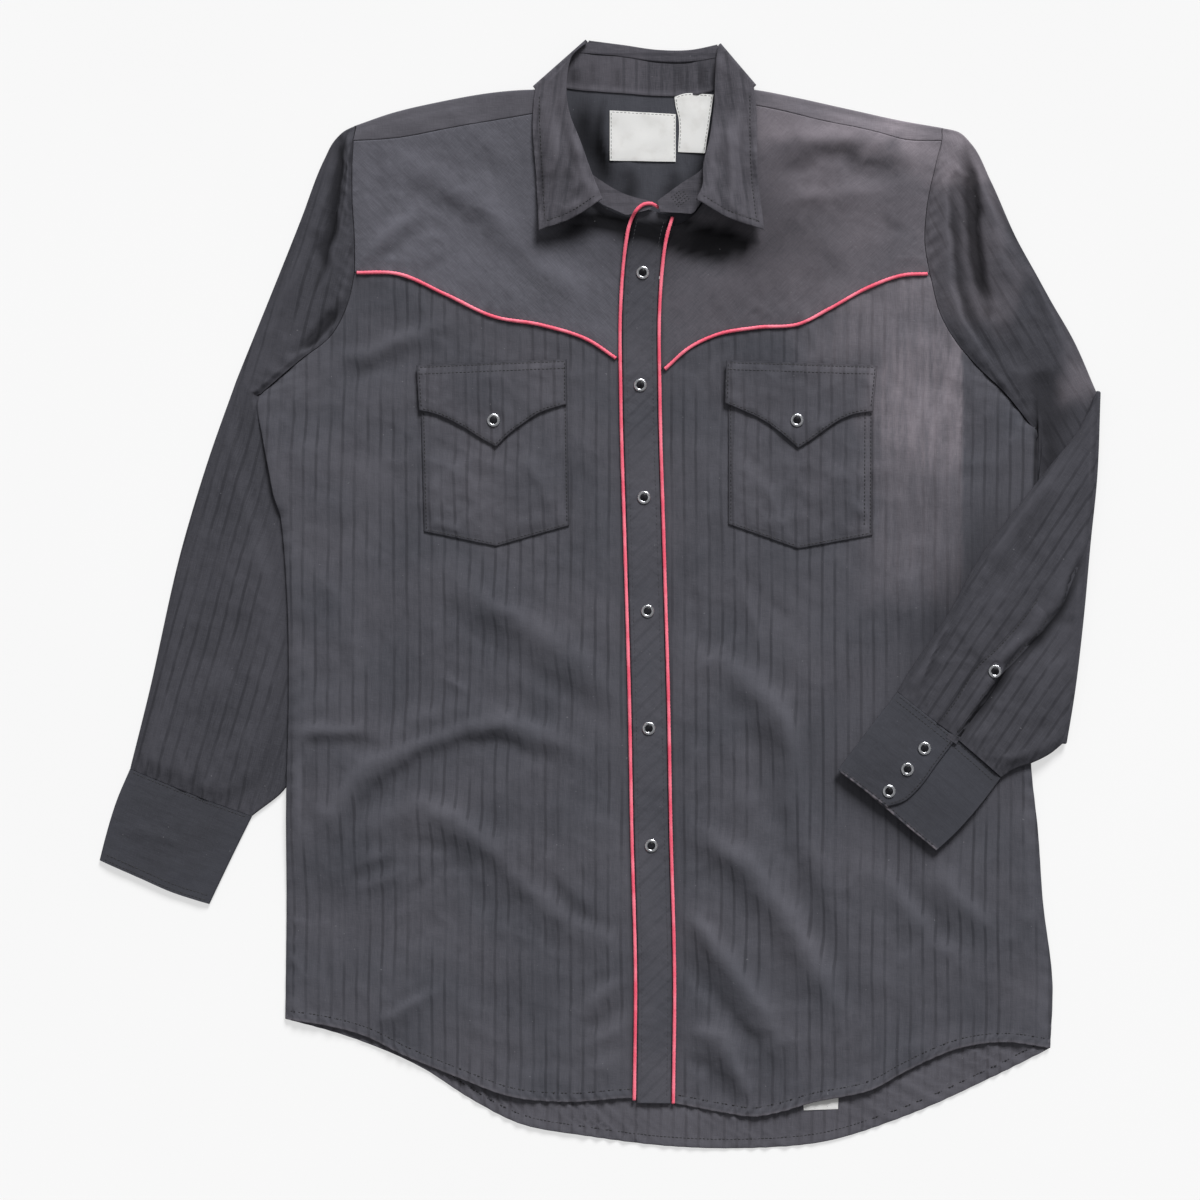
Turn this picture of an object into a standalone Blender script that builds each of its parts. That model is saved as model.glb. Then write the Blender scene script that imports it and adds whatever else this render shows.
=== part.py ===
"""A western snap shirt laid flat on its back, front up.

The left sleeve hangs down beside the body. The right sleeve is folded over at the elbow, so that its
forearm and cuff lie on the front. Left and right are those of someone who looks down on it.

Every size is in millimetres and is turned into metres when a mesh is made. +X is to the right, +Y
towards the collar, +Z up. The origin is the middle of the shirt's outline, on the surface it lies on.
"""

import math

import bmesh
import bpy
import numpy as np

MM = 0.001

# Cloth and the room between its layers
WALL = 1.0            # one ply of cloth
SEAM = 0.3            # between pieces that are sewn together or lie on each other
AIR = 1.0             # between the back and the front that lies on it
BODY = WALL + AIR + WALL          # a flattened sleeve or the flattened body
COLLAR_LIFT = WALL + SEAM         # the yoke lies on the back of the collar leaf
COLLAR_CENTRE = COLLAR_LIFT + WALL + AIR / 2   # height of the collar's corner folds
SLEEVE_LIFT = BODY + 0.5          # the body lies on the sleeves' inner edges
ELBOW_BEND = 0.6                  # inside radius of the folded sleeve
ELBOW_REACH = BODY + ELBOW_BEND   # from the elbow fold to where the sleeve starts to turn
OVER_FRONT = 0.9                  # the loose forearm and cuff above the front
FOREARM_RISE = 30.0               # length of the forearm's rise from the fold to the front
CUFF_OUTER_TURN = 1.8             # outside radius of the folded cuff's edge round all three layers
CUFF_INNER_TURN = 1.15            # the same round its two lower layers

# Bands and trims
PLACKET_HALF = 13.8
PIPING_AT = 16.0      # from the middle of the placket to the middle of its piping
PIPING_HALF = 1.5
PIPING_HIGH = 1.6
PIPING_SECTION = (0.5, 1.0, 0.5)  # height across the piping, as shares of the highest
CURL_JOINS = 292.0    # y where the left piping's curled top joins its straight run
LABEL_WALL = 0.4
SLEEVE_PLACKET_HALF = 10.0
SHORT_STRIP = 6.4     # collar leaf between its roll and the stand
SNAP_PROFILE = (      # radius, height
    (5.35, 0.0),
    (5.35, 0.9),
    (4.6, 1.5),
    (3.9, 1.2),
)
SNAP_CROWN = 2.0
SNAP_SIDES = 10

# How finely each piece is divided
ACROSS_FRONT = 16
ACROSS_BACK = 12
NECK_ROWS = 6
YOKE_ROWS = NECK_ROWS + 3
UNDERARM_ROWS = 9
ARMHOLE_ROWS = 5
SIDE_ROWS = 16
SHOULDER_STEPS = 10
PLACKET_ROWS = 26
EDGE_STEPS = 60       # points on an edge that panels of different lengths share
CURVE_STEPS = 24      # points worked out between two given ones
END_ROOM = 4.0        # an edge's own points keep this far from the ends that are added to it
SHARP_ANGLE = 40      # degrees
TURN_ANGLES = (-90, -30, 30, 90)
ELBOW_ANGLES = (-60, -20, 20, 60)

# Outlines: x, y of the few points that each smooth edge runs through.
# Shoulders and armholes
SHOULDER_FOLD_L = ((-200, 384), (-171, 394), (-133, 403), (-86, 411), (-60, 413), (-38, 413))
SHOULDER_SEAM_L = ((-202, 371), (-171, 373), (-114, 383), (-56, 393), (-38, 396))
ARMHOLE_YOKE_L = ((-202, 371), (-203, 352), (-203, 325), (-201, 287), (-201, 263))
ARMHOLE_LOW_L = ((-201, 263), (-206, 240), (-220, 212), (-246, 191), (-280, 162))
SHOULDER_FOLD_R = ((280, 382), (246, 388), (205, 397), (159, 407), (127, 413), (110, 415))
SHOULDER_SEAM_R = ((280, 371), (250, 372), (227, 378), (180, 388), (127, 400), (110, 402))
ARMHOLE_YOKE_R = ((280, 371), (275, 352), (267, 311), (266, 286), (270, 262))
ARMHOLE_LOW_R = ((270, 262), (279, 228), (291, 207), (309, 186), (330, 166), (356, 134))

# Body
SIDE_L = ((-280, 162), (-271, 117), (-262, 67), (-256, -8), (-255, -87), (-257, -169), (-257, -251),
          (-258, -348))
SIDE_R = ((356, 134), (355, 102), (353, 28), (353, -71), (353, -140), (359, -194), (363, -251), (371, -321),
          (369, -372))
YOKE_SEAM_L = ((-201, 263), (-166, 262), (-126, 245), (-87, 227), (-48, 220), (-8, 207), (15, 192))
YOKE_SEAM_R = ((270, 262), (249, 261), (220, 251), (187, 233), (163, 221), (128, 218), (95, 212), (74, 202))
YOKE_END_Y_L, YOKE_END_Y_R = 184, 183   # where the yoke seams end at the placket
YOKE_PIPING_ENDS_L = ((-199, 263), (13, 193))
YOKE_PIPING_ENDS_R = ((268, 262), (53, 184))
NECKLINE_L = ((-38, 396), (-31, 364), (-15, 334), (2, 317), (20, 309), (44, 308))
NECKLINE_R = ((110, 402), (104, 368), (95, 339), (84, 320), (74, 308), (63, 302), (59, 300))
HEM_L = ((-258, -348), (-221, -354), (-195, -361), (-160, -378), (-116, -396), (-71, -412), (-26, -416),
         (26, -413), (58, -416))
HEM_R = ((60, -417), (102, -425), (125, -428), (148, -424), (171, -417), (224, -405), (252, -390), (298, -371),
         (332, -367), (369, -372))
HEM_BACK = ((-258, -348), (-205, -363), (-146, -388), (-107, -413), (-68, -433), (-11, -444), (66, -453),
            (125, -454), (182, -449), (252, -427), (321, -396), (369, -372))
BACK_SEAM_DIP = 4     # the back yoke's straight seam dips this much at its middle
PLACKET_MID = ((52, 303), (46, 296), (39, 287), (35, 272), (33, 239), (33, 161), (36, 52), (40, -87),
               (42, -194), (45, -314), (44, -417))

# Sleeves and cuffs
CAP_L = ((-200, 384), (-210, 379), (-218, 371), (-226, 356), (-245, 307), (-298, 175))
SLEEVE_L_OUT = ((-298, 175), (-321, 110), (-341, 44), (-371, -87), (-385, -143))
SLEEVE_L_IN = ((-280, 162), (-277.4, 142), (-273.6, 122), (-269.6, 102), (-264.5, 82), (-249, 36), (-238, -13),
               (-237, -71), (-244, -120), (-256, -157), (-285, -182))
CUFF_SEAM_L = ((-385, -143), (-351, -157), (-316, -171), (-285, -182))
CUFF_L_OUT = ((-385, -143), (-396, -169), (-406, -202), (-410, -218))
CUFF_L_IN = ((-285, -182), (-295, -202), (-311, -235), (-320, -254))
CUFF_L_END = ((-410, -218), (-376, -233), (-351, -244), (-320, -254))
CAP_R = ((280, 382), (295, 378), (305, 368), (320, 339), (342, 290), (358, 261))
SLEEVE_R_OUT = ((358, 261), (369, 241), (388, 208), (410, 166))
SLEEVE_R_IN = ((356, 134), (356.8, 118), (356.4, 102), (355.6, 86), (354.6, 70), (346, 30), (334, -21),
               (333, -79), (351, -110), (382, -123))
ELBOW_FOLD = ((410, 166), (407, 93), (402, 44), (396, -21), (388, -87), (382, -123))
FOREARM_OUT = ((410, 166), (390, 132), (368, 105), (331, 58), (301, 11), (280, -9), (264, -38), (243, -80))
FOREARM_IN = ((382, -123), (369, -130), (353, -138), (337, -144), (328, -150))
CUFF_SEAM_R = ((243, -80), (266, -98), (291, -118), (328, -150))
CUFF_R_OUT = ((243, -80), (218, -112), (194, -144))
CUFF_R_IN = ((328, -150), (312, -171), (290, -196), (275, -210))
CUFF_R_END = ((194, -144), (232, -173), (251, -190), (275, -210))
CUFF_R_MIDDLE = (255, -150)
OVERLAP_END = ((291, -118), (275, -139), (261, -158), (249, -169), (234, -174))
UNDERLAP_END = ((272, -103), (220, -164))
SLIT_EDGE = ((291, -117), (306, -96), (321, -72), (337, -57), (354, -38), (375, -11))

# Collar
NECK_MIDDLE = (37, 380)   # tells an edge's inner side
COLLAR_FOLD_L = ((-12, 454), (-55, 416))
COLLAR_FOLD_R = ((99, 451), (128, 417))
ROLL_BACK = ((-12, 454), (19, 450), (48, 446), (74, 446), (99, 451))
FREE_BACK = ((-29, 404), (37, 400), (102, 404))
ROLL_L = ((-12, 454), (-22, 441), (-27, 421), (-26, 399), (-15, 367), (-7, 344), (2, 321))
FREE_L = ((-55, 416), (-55, 395), (-52, 337), (-50, 297))
LEAF_END_L = ((2, 321), (-23, 306), (-50, 297))
ROLL_R = ((99, 451), (95, 438), (93, 400), (89, 371), (84, 350), (83, 332), (78, 321))
FREE_R = ((128, 417), (128, 395), (129, 345), (134, 297))
LEAF_END_R = ((78, 321), (99, 309), (134, 297))
STAND_TOP = ((-8, 442), (19, 440), (48, 435), (74, 435), (92, 440))
STAND_FOLD_L = ((-20, 446), (-44, 424))
STAND_FOLD_R = ((105, 444), (121, 425))
NECK_BACK = ((-33, 415), (-20, 413), (19, 410), (44, 408), (80, 409), (106, 416))
STAND_IN_L = ((-20, 446), (-25, 438), (-29, 420), (-28, 397), (-16, 366), (-9, 345), (0, 338), (19, 327),
              (44, 320))
STAND_TIP_L = (41, 314)
STAND_SHOULDER_L = (-36, 416)
STAND_IN_R = ((105, 444), (99, 435), (95, 417), (95, 399), (91, 370), (84, 348), (66, 335), (47, 321))
STAND_TIP_R = (49, 312)
STAND_SHOULDER_R = (108, 418)
PIPING_CURL = ((46, 314), (38, 316), (32, 313), (27, 304))   # the left piping's top, over the placket

# Flat shapes: x, y of the corners
POCKET_L = {"top": ((-147, 180), (-27, 180)),
            "left": ((-147, 180), (-144, 51)), "right": ((-27, 180), (-25, 56)),
            "bottom left": ((-144, 51), (-85, 39)), "bottom right": ((-85, 39), (-25, 56))}
POCKET_R = {"top": ((105, 180), (224, 180)),
            "left": ((105, 180), (105, 57)), "right": ((224, 180), (223, 48)),
            "bottom left": ((105, 57), (162, 37)), "bottom right": ((162, 37), (223, 48))}
FLAP_L = {"top": ((-150, 187), (-27, 192)),
          "left": ((-150, 187), (-148, 150)), "right": ((-27, 192), (-27, 155)),
          "bottom left": ((-148, 150), (-135, 147), (-123, 142), (-110, 135), (-99, 128), (-85, 120)),
          "bottom right": ((-85, 120), (-75, 130), (-63, 139), (-51, 147), (-38, 152), (-27, 155))}
FLAP_R = {"top": ((103, 191), (227, 187)),
          "left": ((103, 191), (102, 156)), "right": ((227, 187), (223, 149)),
          "bottom left": ((102, 156), (116, 150), (133, 142), (147, 132), (162, 119)),
          "bottom right": ((162, 119), (173, 126), (184, 134), (198, 143), (209, 147), (223, 149))}
LABEL_MAIN = {"top": ((8, 396), (62, 393)), "bottom": ((8, 355), (62, 354)),
              "left": ((8, 396), (8, 355)), "right": ((62, 393), (62, 354))}
LABEL_CARE = {"top": ((64, 405), (91, 406)), "bottom": ((64, 362), (86, 362)),
              "left": ((64, 405), (64, 362)), "right": ((91, 406), (86, 362))}
LABEL_HEM = {"top": ((165, -402), (196, -397)), "bottom": ((167, -423), (195, -422)),
             "left": ((165, -402), (167, -423)), "right": ((196, -397), (195, -422))}

SNAPS = (             # name, x, y, what it is pressed into
    ("snap_placket_1", 35, 263, "placket"),
    ("snap_placket_2", 33, 171, "placket"),
    ("snap_placket_3", 36, 79, "placket"),
    ("snap_placket_4", 39, -14, "placket"),
    ("snap_placket_5", 40, -110, "placket"),
    ("snap_placket_6", 42, -206, "placket"),
    ("snap_flap_left", -87, 142, "flap"),
    ("snap_flap_right", 161, 142, "flap"),
    ("snap_cuff_1", 265, -126, "cuff"),
    ("snap_cuff_2", 251, -143, "cuff"),
    ("snap_cuff_3", 236, -161, "cuff"),
    ("snap_sleeve", 322, -63, "sleeve placket"),
)

# What the back lies on: the full height holds between the two full lines and eases to none beyond.
# x from none, full, full, none; y from none, full, full, none; height
LIFTS = (
    ((-999, -998, -213, -150), (-270, -170, 96, 156), SLEEVE_LIFT),   # the hanging sleeve's inner edge
    ((250, 312, 998, 999), (-205, -125, 70, 128), SLEEVE_LIFT),       # the folded sleeve's upper arm
    ((-122, -62, 136, 196), (289, 379, 998, 999), COLLAR_LIFT),       # the collar leaf
)

# Where the front stays flat under what lies on it: from x, y, to x, y, radius
FLAT_ZONES = (
    (-86, 120, -86, 105, 88),      # left pocket
    (164, 120, 164, 105, 88),      # right pocket
    (380, 40, 290, -120, 62),      # forearm
    (262, -120, 240, -150, 64),    # cuff
    (-45, 400, -30, 312, 26),      # collar leaf, left
    (110, 400, 106, 312, 28),      # collar leaf, right
)
FLAT_FADE = 34
PLACKET_FADE = 30
PLACKET_CLEAR = 3     # flat cloth beside the placket's pipings
FOLD_END = 0.35       # a fold's height at its ends, as a share of its full height

# The front's largest folds: from x, y, to x, y, sideways bow, half width, height
FOLDS = (
    (-138, 36, 20, -84, -8, 15, 3.2),
    (-220, -180, -30, -118, 52, 11, 4.2),
    (-190, -188, 22, -292, 34, 13, 3.6),
    (-208, -232, -160, -212, 4, 8, 2.0),
    (-184, -350, -136, -326, 4, 9, 2.2),
    (-18, -340, 20, -312, 3, 9, 2.0),
    (-252, -118, -182, -112, 3, 9, 1.8),
    (78, -54, 178, -178, 16, 14, 3.0),
    (64, -190, 196, -346, 26, 14, 3.4),
    (66, -260, 148, -364, 10, 10, 3.0),
    (70, -360, 122, -414, 10, 9, 2.6),
    (236, -226, 300, -300, -4, 12, 2.6),
    (-160, 352, -18, 248, 10, 13, 2.8),
    (-192, 276, -150, 314, -3, 9, 2.0),
    (126, 338, 214, 346, 16, 13, 2.4),
    (122, 236, 158, 226, 2, 8, 1.6),
)

COLOURS = {           # red, green, blue; roughness; metallic
    "cloth": ((0.068, 0.067, 0.080), 0.85, 0.0),
    "piping": ((0.62, 0.14, 0.22), 0.7, 0.0),
    "label": ((0.75, 0.74, 0.71), 0.8, 0.0),
    "snap": ((0.55, 0.56, 0.58), 0.3, 1.0),
}


def ease(t):
    """0 to 1 with level ends."""
    t = np.clip(t, 0.0, 1.0)
    return t * t * (3 - 2 * t)


def unit(vectors):
    """The vectors at length 1."""
    vectors = np.asarray(vectors, float)
    return vectors / np.linalg.norm(vectors, axis=-1, keepdims=True)


def smooth(points, steps):
    """steps + 1 points at equal distances along a smooth curve through the given ones."""
    points = np.asarray(points, float)
    chords = np.linalg.norm(np.diff(points, axis=0), axis=1)
    at = np.concatenate([[0.0], np.cumsum(chords)])
    slopes = np.gradient(points, at, axis=0) if len(points) > 2 else np.diff(points, axis=0) / chords[0]
    if len(points) == 2:
        slopes = np.vstack([slopes, slopes])
    fine = []
    for i, length in enumerate(chords):
        t = np.linspace(0, 1, CURVE_STEPS, endpoint=False)[:, None]
        fine.append((2 * t ** 3 - 3 * t ** 2 + 1) * points[i] + (t ** 3 - 2 * t ** 2 + t) * length * slopes[i]
                    + (3 * t ** 2 - 2 * t ** 3) * points[i + 1] + (t ** 3 - t ** 2) * length * slopes[i + 1])
    fine = np.vstack(fine + [points[-1:]])
    run = np.concatenate([[0.0], np.cumsum(np.linalg.norm(np.diff(fine, axis=0), axis=1))])
    wanted = np.linspace(0, run[-1], steps + 1)
    return np.column_stack([np.interp(wanted, run, fine[:, k]) for k in (0, 1)])


def join(*runs):
    """One run of points from several that meet end to end."""
    return np.vstack([runs[0]] + [run[1:] for run in runs[1:]])


def shift(curve, distance):
    """A curve moved sideways, to the left of its own direction."""
    ahead = unit(np.gradient(curve, axis=0))
    return curve + np.column_stack([-ahead[:, 1], ahead[:, 0]]) * distance


def square_to(edge, towards):
    """Unit vectors square to an edge, on the side where the given point or points lie."""
    ahead = unit(np.gradient(edge, axis=0))
    square = np.column_stack([-ahead[:, 1], ahead[:, 0]])
    side = np.sign(np.sum(square * (np.asarray(towards, float) - edge), axis=1))
    return square * side[:, None]


def fill(top, bottom, left, right):
    """A grid of plan points between four edges that share their corners."""
    u = np.linspace(0, 1, len(top))[None, :, None]
    v = np.linspace(0, 1, len(left))[:, None, None]
    corners = ((1 - u) * (1 - v) * top[0] + u * (1 - v) * top[-1]
               + (1 - u) * v * bottom[0] + u * v * bottom[-1])
    return (1 - v) * top[None] + v * bottom[None] + (1 - u) * left[:, None] + u * right[:, None] - corners


def trim(grid, top=0.0, bottom=0.0, left=0.0, right=0.0):
    """A grid whose edge rows are drawn in by the given distances."""
    grid = grid.copy()
    moves = (((0, slice(None)), (1, slice(None)), top), ((-1, slice(None)), (-2, slice(None)), bottom),
             ((slice(None), 0), (slice(None), 1), left), ((slice(None), -1), (slice(None), -2), right))
    for edge, inside, distance in moves:
        if distance:
            grid[edge] += square_to(grid[edge], grid[inside]) * distance
    return grid


def lifted(xy, z):
    """Plan points with a height."""
    return np.concatenate([xy, np.broadcast_to(np.asarray(z, float), xy.shape[:-1])[..., None]], axis=-1)


def window(values, none_1, full_1, full_2, none_2):
    """1 between the full limits and 0 beyond the none limits."""
    return ease((values - none_1) / (full_1 - none_1)) * ease((none_2 - values) / (none_2 - full_2))


def back_height(xy):
    """Height of the back's underside, which lies on the surface, the sleeves and the collar leaf."""
    return sum(window(xy[..., 0], *in_x) * window(xy[..., 1], *in_y) * height for in_x, in_y, height in LIFTS)


def along(xy, start, end, bow=0.0):
    """How far points lie from a bowed line, and where along it from 0 to 1."""
    start, end = np.asarray(start, float), np.asarray(end, float)
    line = end - start
    length = np.linalg.norm(line)
    forward = line / length
    side = np.array([-forward[1], forward[0]])
    t = (xy - start) @ forward / length
    within = np.clip(t, 0.0, 1.0)
    off = (xy - start) @ side - bow * 4 * within * (1 - within)
    beyond = (t - within) * length
    return np.hypot(off, beyond), within


def folds(xy):
    """Height that the front's folds add, none where something lies on it."""
    total = np.zeros(xy.shape[:-1])
    for x_1, y_1, x_2, y_2, bow, half_width, height in FOLDS:
        distance, t = along(xy, (x_1, y_1), (x_2, y_2), bow)
        swell = FOLD_END + (1 - FOLD_END) * np.sin(math.pi * t)
        total = total + height * np.exp(-(distance / half_width) ** 2) * swell
    for x_1, y_1, x_2, y_2, radius in FLAT_ZONES:
        distance = along(xy, (x_1, y_1), (x_2, y_2 - 0.1))[0]
        total = total * ease((distance - radius) / FLAT_FADE)
    middle = np.interp(xy[..., 1], *np.array(PLACKET_MID[::-1], float).T[::-1])
    return total * ease((np.abs(xy[..., 0] - middle) - PIPING_AT - PLACKET_CLEAR) / PLACKET_FADE)


def front_height(xy):
    """Height of the underside of the front layer."""
    return back_height(xy) + WALL + AIR + folds(xy)


def front_top(xy):
    """Height of the upper side of the front layer."""
    return front_height(xy) + WALL


def cuff_height(xy):
    """Height of the folded cuff's underside."""
    return back_height(xy) + BODY + OVER_FRONT


def forearm_height(xy):
    """Height of the folded forearm's underside: low at the elbow fold, and up over the front."""
    fold_x = np.interp(xy[..., 1], *np.array(ELBOW_FOLD[::-1], float).T[::-1])
    rise = ease((fold_x - ELBOW_REACH - xy[..., 0]) / FOREARM_RISE)
    return (1 - rise) * (BODY + 2 * ELBOW_BEND) + rise * cuff_height(xy)


def clean_scene():
    """Remove whatever the scene holds."""
    for item in list(bpy.data.objects):
        bpy.data.objects.remove(item, do_unlink=True)


def material(name, kind):
    """A piece's own material."""
    colour, roughness, metallic = COLOURS[kind]
    finish = bpy.data.materials.new(name)
    finish.use_nodes = True
    shader = finish.node_tree.nodes["Principled BSDF"]
    shader.inputs["Base Color"].default_value = (*colour, 1.0)
    shader.inputs["Roughness"].default_value = roughness
    shader.inputs["Metallic"].default_value = metallic
    finish.diffuse_color = (*colour, 1.0)
    return finish


def add_object(name, mesh, kind):
    """Put a bmesh in the scene as one named object, with its faces pointing out."""
    bmesh.ops.recalc_face_normals(mesh, faces=mesh.faces)
    data = bpy.data.meshes.new(name)
    mesh.to_mesh(data)
    mesh.free()
    data.materials.append(material(name, kind))
    data.shade_smooth()
    data.set_sharp_from_angle(angle=math.radians(SHARP_ANGLE))
    item = bpy.data.objects.new(name, data)
    bpy.context.collection.objects.link(item)
    return item


def shell(name, patches, kind="cloth"):
    """One closed solid from patches of cloth.

    Each patch is a pair of grids, its outer and its inner side. Patches whose outer points meet are
    joined there, and the free edges are closed.
    """
    mesh = bmesh.new()
    known = {}
    cells = []
    for outer, inner in patches:
        index = np.empty(outer.shape[:2], int)
        for place in np.ndindex(*index.shape):
            key = tuple(np.round(outer[place], 3))
            if key not in known:
                known[key] = (len(known), mesh.verts.new(outer[place] * MM), mesh.verts.new(inner[place] * MM))
            index[place] = known[key][0]
        for row in range(index.shape[0] - 1):
            for column in range(index.shape[1] - 1):
                cells.append((index[row, column], index[row, column + 1],
                              index[row + 1, column + 1], index[row + 1, column]))
    outside = {number: vertex for number, vertex, _ in known.values()}
    inside = {number: vertex for number, _, vertex in known.values()}
    uses = {}
    for cell in cells:
        mesh.faces.new([outside[corner] for corner in cell])
        mesh.faces.new([inside[corner] for corner in reversed(cell)])
        for start, end in zip(cell, cell[1:] + cell[:1]):
            edge = (min(start, end), max(start, end))
            uses[edge] = uses.get(edge, 0) + 1
    for (start, end), count in uses.items():
        if count == 1:
            mesh.faces.new([outside[end], outside[start], inside[start], inside[end]])
    return add_object(name, mesh, kind)


def sheet(name, grid, underside, kind="cloth", wall=WALL):
    """A piece of cloth that lies flat, its underside at the given heights."""
    return shell(name, [(lifted(grid, underside + wall), lifted(grid, underside))], kind)


def turn(edge, inward, reach, centre, outer_radius, inner_radius, angles=TURN_ANGLES):
    """Rows of cloth that turn over at an edge, from the lower to the upper layer."""
    rows = []
    for radius in (outer_radius, inner_radius):
        rows.append(np.stack([
            lifted(edge + inward * (reach - radius * math.cos(math.radians(angle))),
                   centre + radius * math.sin(math.radians(angle)))
            for angle in angles]))
    return rows[0], rows[1]


def ribbon_grid(middle, offsets):
    """A band's grid: its columns lie at the given distances beside a middle line."""
    return np.stack([shift(middle, offset) for offset in offsets], axis=1)


def piping(name, middle):
    """A covered cord in a seam, level below and rounded above."""
    grid = ribbon_grid(middle, (-PIPING_HALF, 0.0, PIPING_HALF))
    bottom = front_top(grid) + SEAM
    high = np.array(PIPING_SECTION) * PIPING_HIGH
    return shell(name, [(lifted(grid, bottom + high), lifted(grid, bottom))], "piping")


def tube(name, rows, open_rows=0):
    """A flattened sleeve or cuff: rows of (points across, function that lays a point at a depth).

    The first rows, as many as open_rows says, run along the armhole, where the two layers stay apart.
    """
    half = BODY / 2
    grids = []
    for draw_in, low in ((0.0, 0.0), (WALL, WALL)):
        rings = []
        for number, (across, lay) in enumerate(rows):
            start = unit(across[1] - across[0])
            end = unit(across[-2] - across[-1])
            inset = half if number >= open_rows else 0.0
            line = np.vstack([across[0] + start * half, across[1:-1], across[-1] + end * inset])
            near, far = across[0] + start * draw_in, across[-1] + end * draw_in
            ring = np.vstack([line[::-1], near, line, far, line[-1]])
            count = len(line)
            depth = np.concatenate([np.full(count, low), [half], np.full(count, BODY - low), [half, low]])
            rings.append(lay(ring, depth))
        grids.append(np.stack(rings))
    outer, inner = grids
    return shell(name, [(outer[:, :-2], inner[:, :-2]), (outer[open_rows:, -3:], inner[open_rows:, -3:])])


def on_floor(xy, depth):
    """A tube's layer that lies on the surface."""
    return lifted(xy, depth)


def on_front(xy, depth):
    """The folded forearm, upside down over the front."""
    return lifted(xy, forearm_height(xy) + BODY - depth)


def at_elbow(inward, angle):
    """The folded sleeve's turn at one angle."""
    def lay(xy, depth):
        radius = BODY - depth + ELBOW_BEND
        swing = math.radians(angle)
        plan = xy + inward * (ELBOW_REACH - radius * math.cos(swing))[:, None]
        return lifted(plan, BODY + ELBOW_BEND + radius * math.sin(swing))
    return lay


def make_body():
    """Fronts, front yokes and back. Panels that meet share their edge points."""
    middle = smooth(PLACKET_MID, EDGE_STEPS)
    under_edge = shift(middle, PLACKET_HALF + SEAM)
    over_edge = shift(middle, PIPING_AT + SEAM)

    def stretch(edge, high, low, steps):
        """The part of an edge between two values of y."""
        kept = edge[(edge[:, 1] < high - END_ROOM) & (edge[:, 1] > low + END_ROOM)]
        ends = [[np.interp(y, edge[::-1, 1], edge[::-1, 0]), y] for y in (high, low)]
        return smooth(np.vstack([ends[0], kept[::2], ends[1]]), steps)

    for side, seam_y, neck, edge, armhole, low, flank, seam, shoulder, hem in (
            ("left", YOKE_END_Y_L, NECKLINE_L, under_edge, ARMHOLE_YOKE_L, ARMHOLE_LOW_L, SIDE_L,
             YOKE_SEAM_L, SHOULDER_SEAM_L, HEM_L),
            ("right", YOKE_END_Y_R, NECKLINE_R, over_edge, ARMHOLE_YOKE_R, ARMHOLE_LOW_R, SIDE_R,
             YOKE_SEAM_R, SHOULDER_SEAM_R, HEM_R[::-1])):
        inner = smooth(neck, NECK_ROWS)
        down = stretch(edge, neck[-1][1] - END_ROOM, seam_y, YOKE_ROWS - NECK_ROWS)
        down[0] = inner[-1]
        seam_line = smooth(np.vstack([seam, down[-1]]), ACROSS_FRONT)
        yoke = fill(smooth(shoulder, ACROSS_FRONT), seam_line,
                    smooth(armhole, YOKE_ROWS), join(inner, down))
        yoke = trim(yoke, top=SEAM / 2, bottom=SEAM / 2, left=SEAM / 2)
        sheet(f"yoke_{side}", yoke, front_height(yoke))

        outer = join(smooth(low, ARMHOLE_ROWS), smooth(flank, SIDE_ROWS))
        placket_side = stretch(edge, seam_y, hem[-1][1], len(outer) - 1)
        hem_line = smooth(hem, ACROSS_FRONT)
        placket_side[-1] = hem_line[-1]
        placket_side[0] = seam_line[-1]
        front = fill(seam_line, hem_line, outer, placket_side)
        front = trim(front, top=SEAM / 2, left=SEAM / 2)
        height = front_height(front)
        height[ARMHOLE_ROWS + 1:, 0] -= AIR - SEAM
        sheet(f"front_{side}", front, height)

    left = join(smooth(ARMHOLE_LOW_L, ARMHOLE_ROWS), smooth(SIDE_L, SIDE_ROWS))
    right = join(smooth(ARMHOLE_LOW_R, ARMHOLE_ROWS), smooth(SIDE_R, SIDE_ROWS))
    back = fill(smooth(back_seam(), ACROSS_BACK), smooth(HEM_BACK, ACROSS_BACK), left, right)
    back = trim(back, top=SEAM / 2, left=SEAM / 2, right=SEAM / 2)
    sheet("back", back, back_height(back))


def back_seam():
    """The seam between back and back yoke, hidden inside the shirt."""
    start, end = np.array(ARMHOLE_LOW_L[0], float), np.array(ARMHOLE_LOW_R[0], float)
    return np.vstack([start, (start + end) / 2 - [0, BACK_SEAM_DIP], end])


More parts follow.
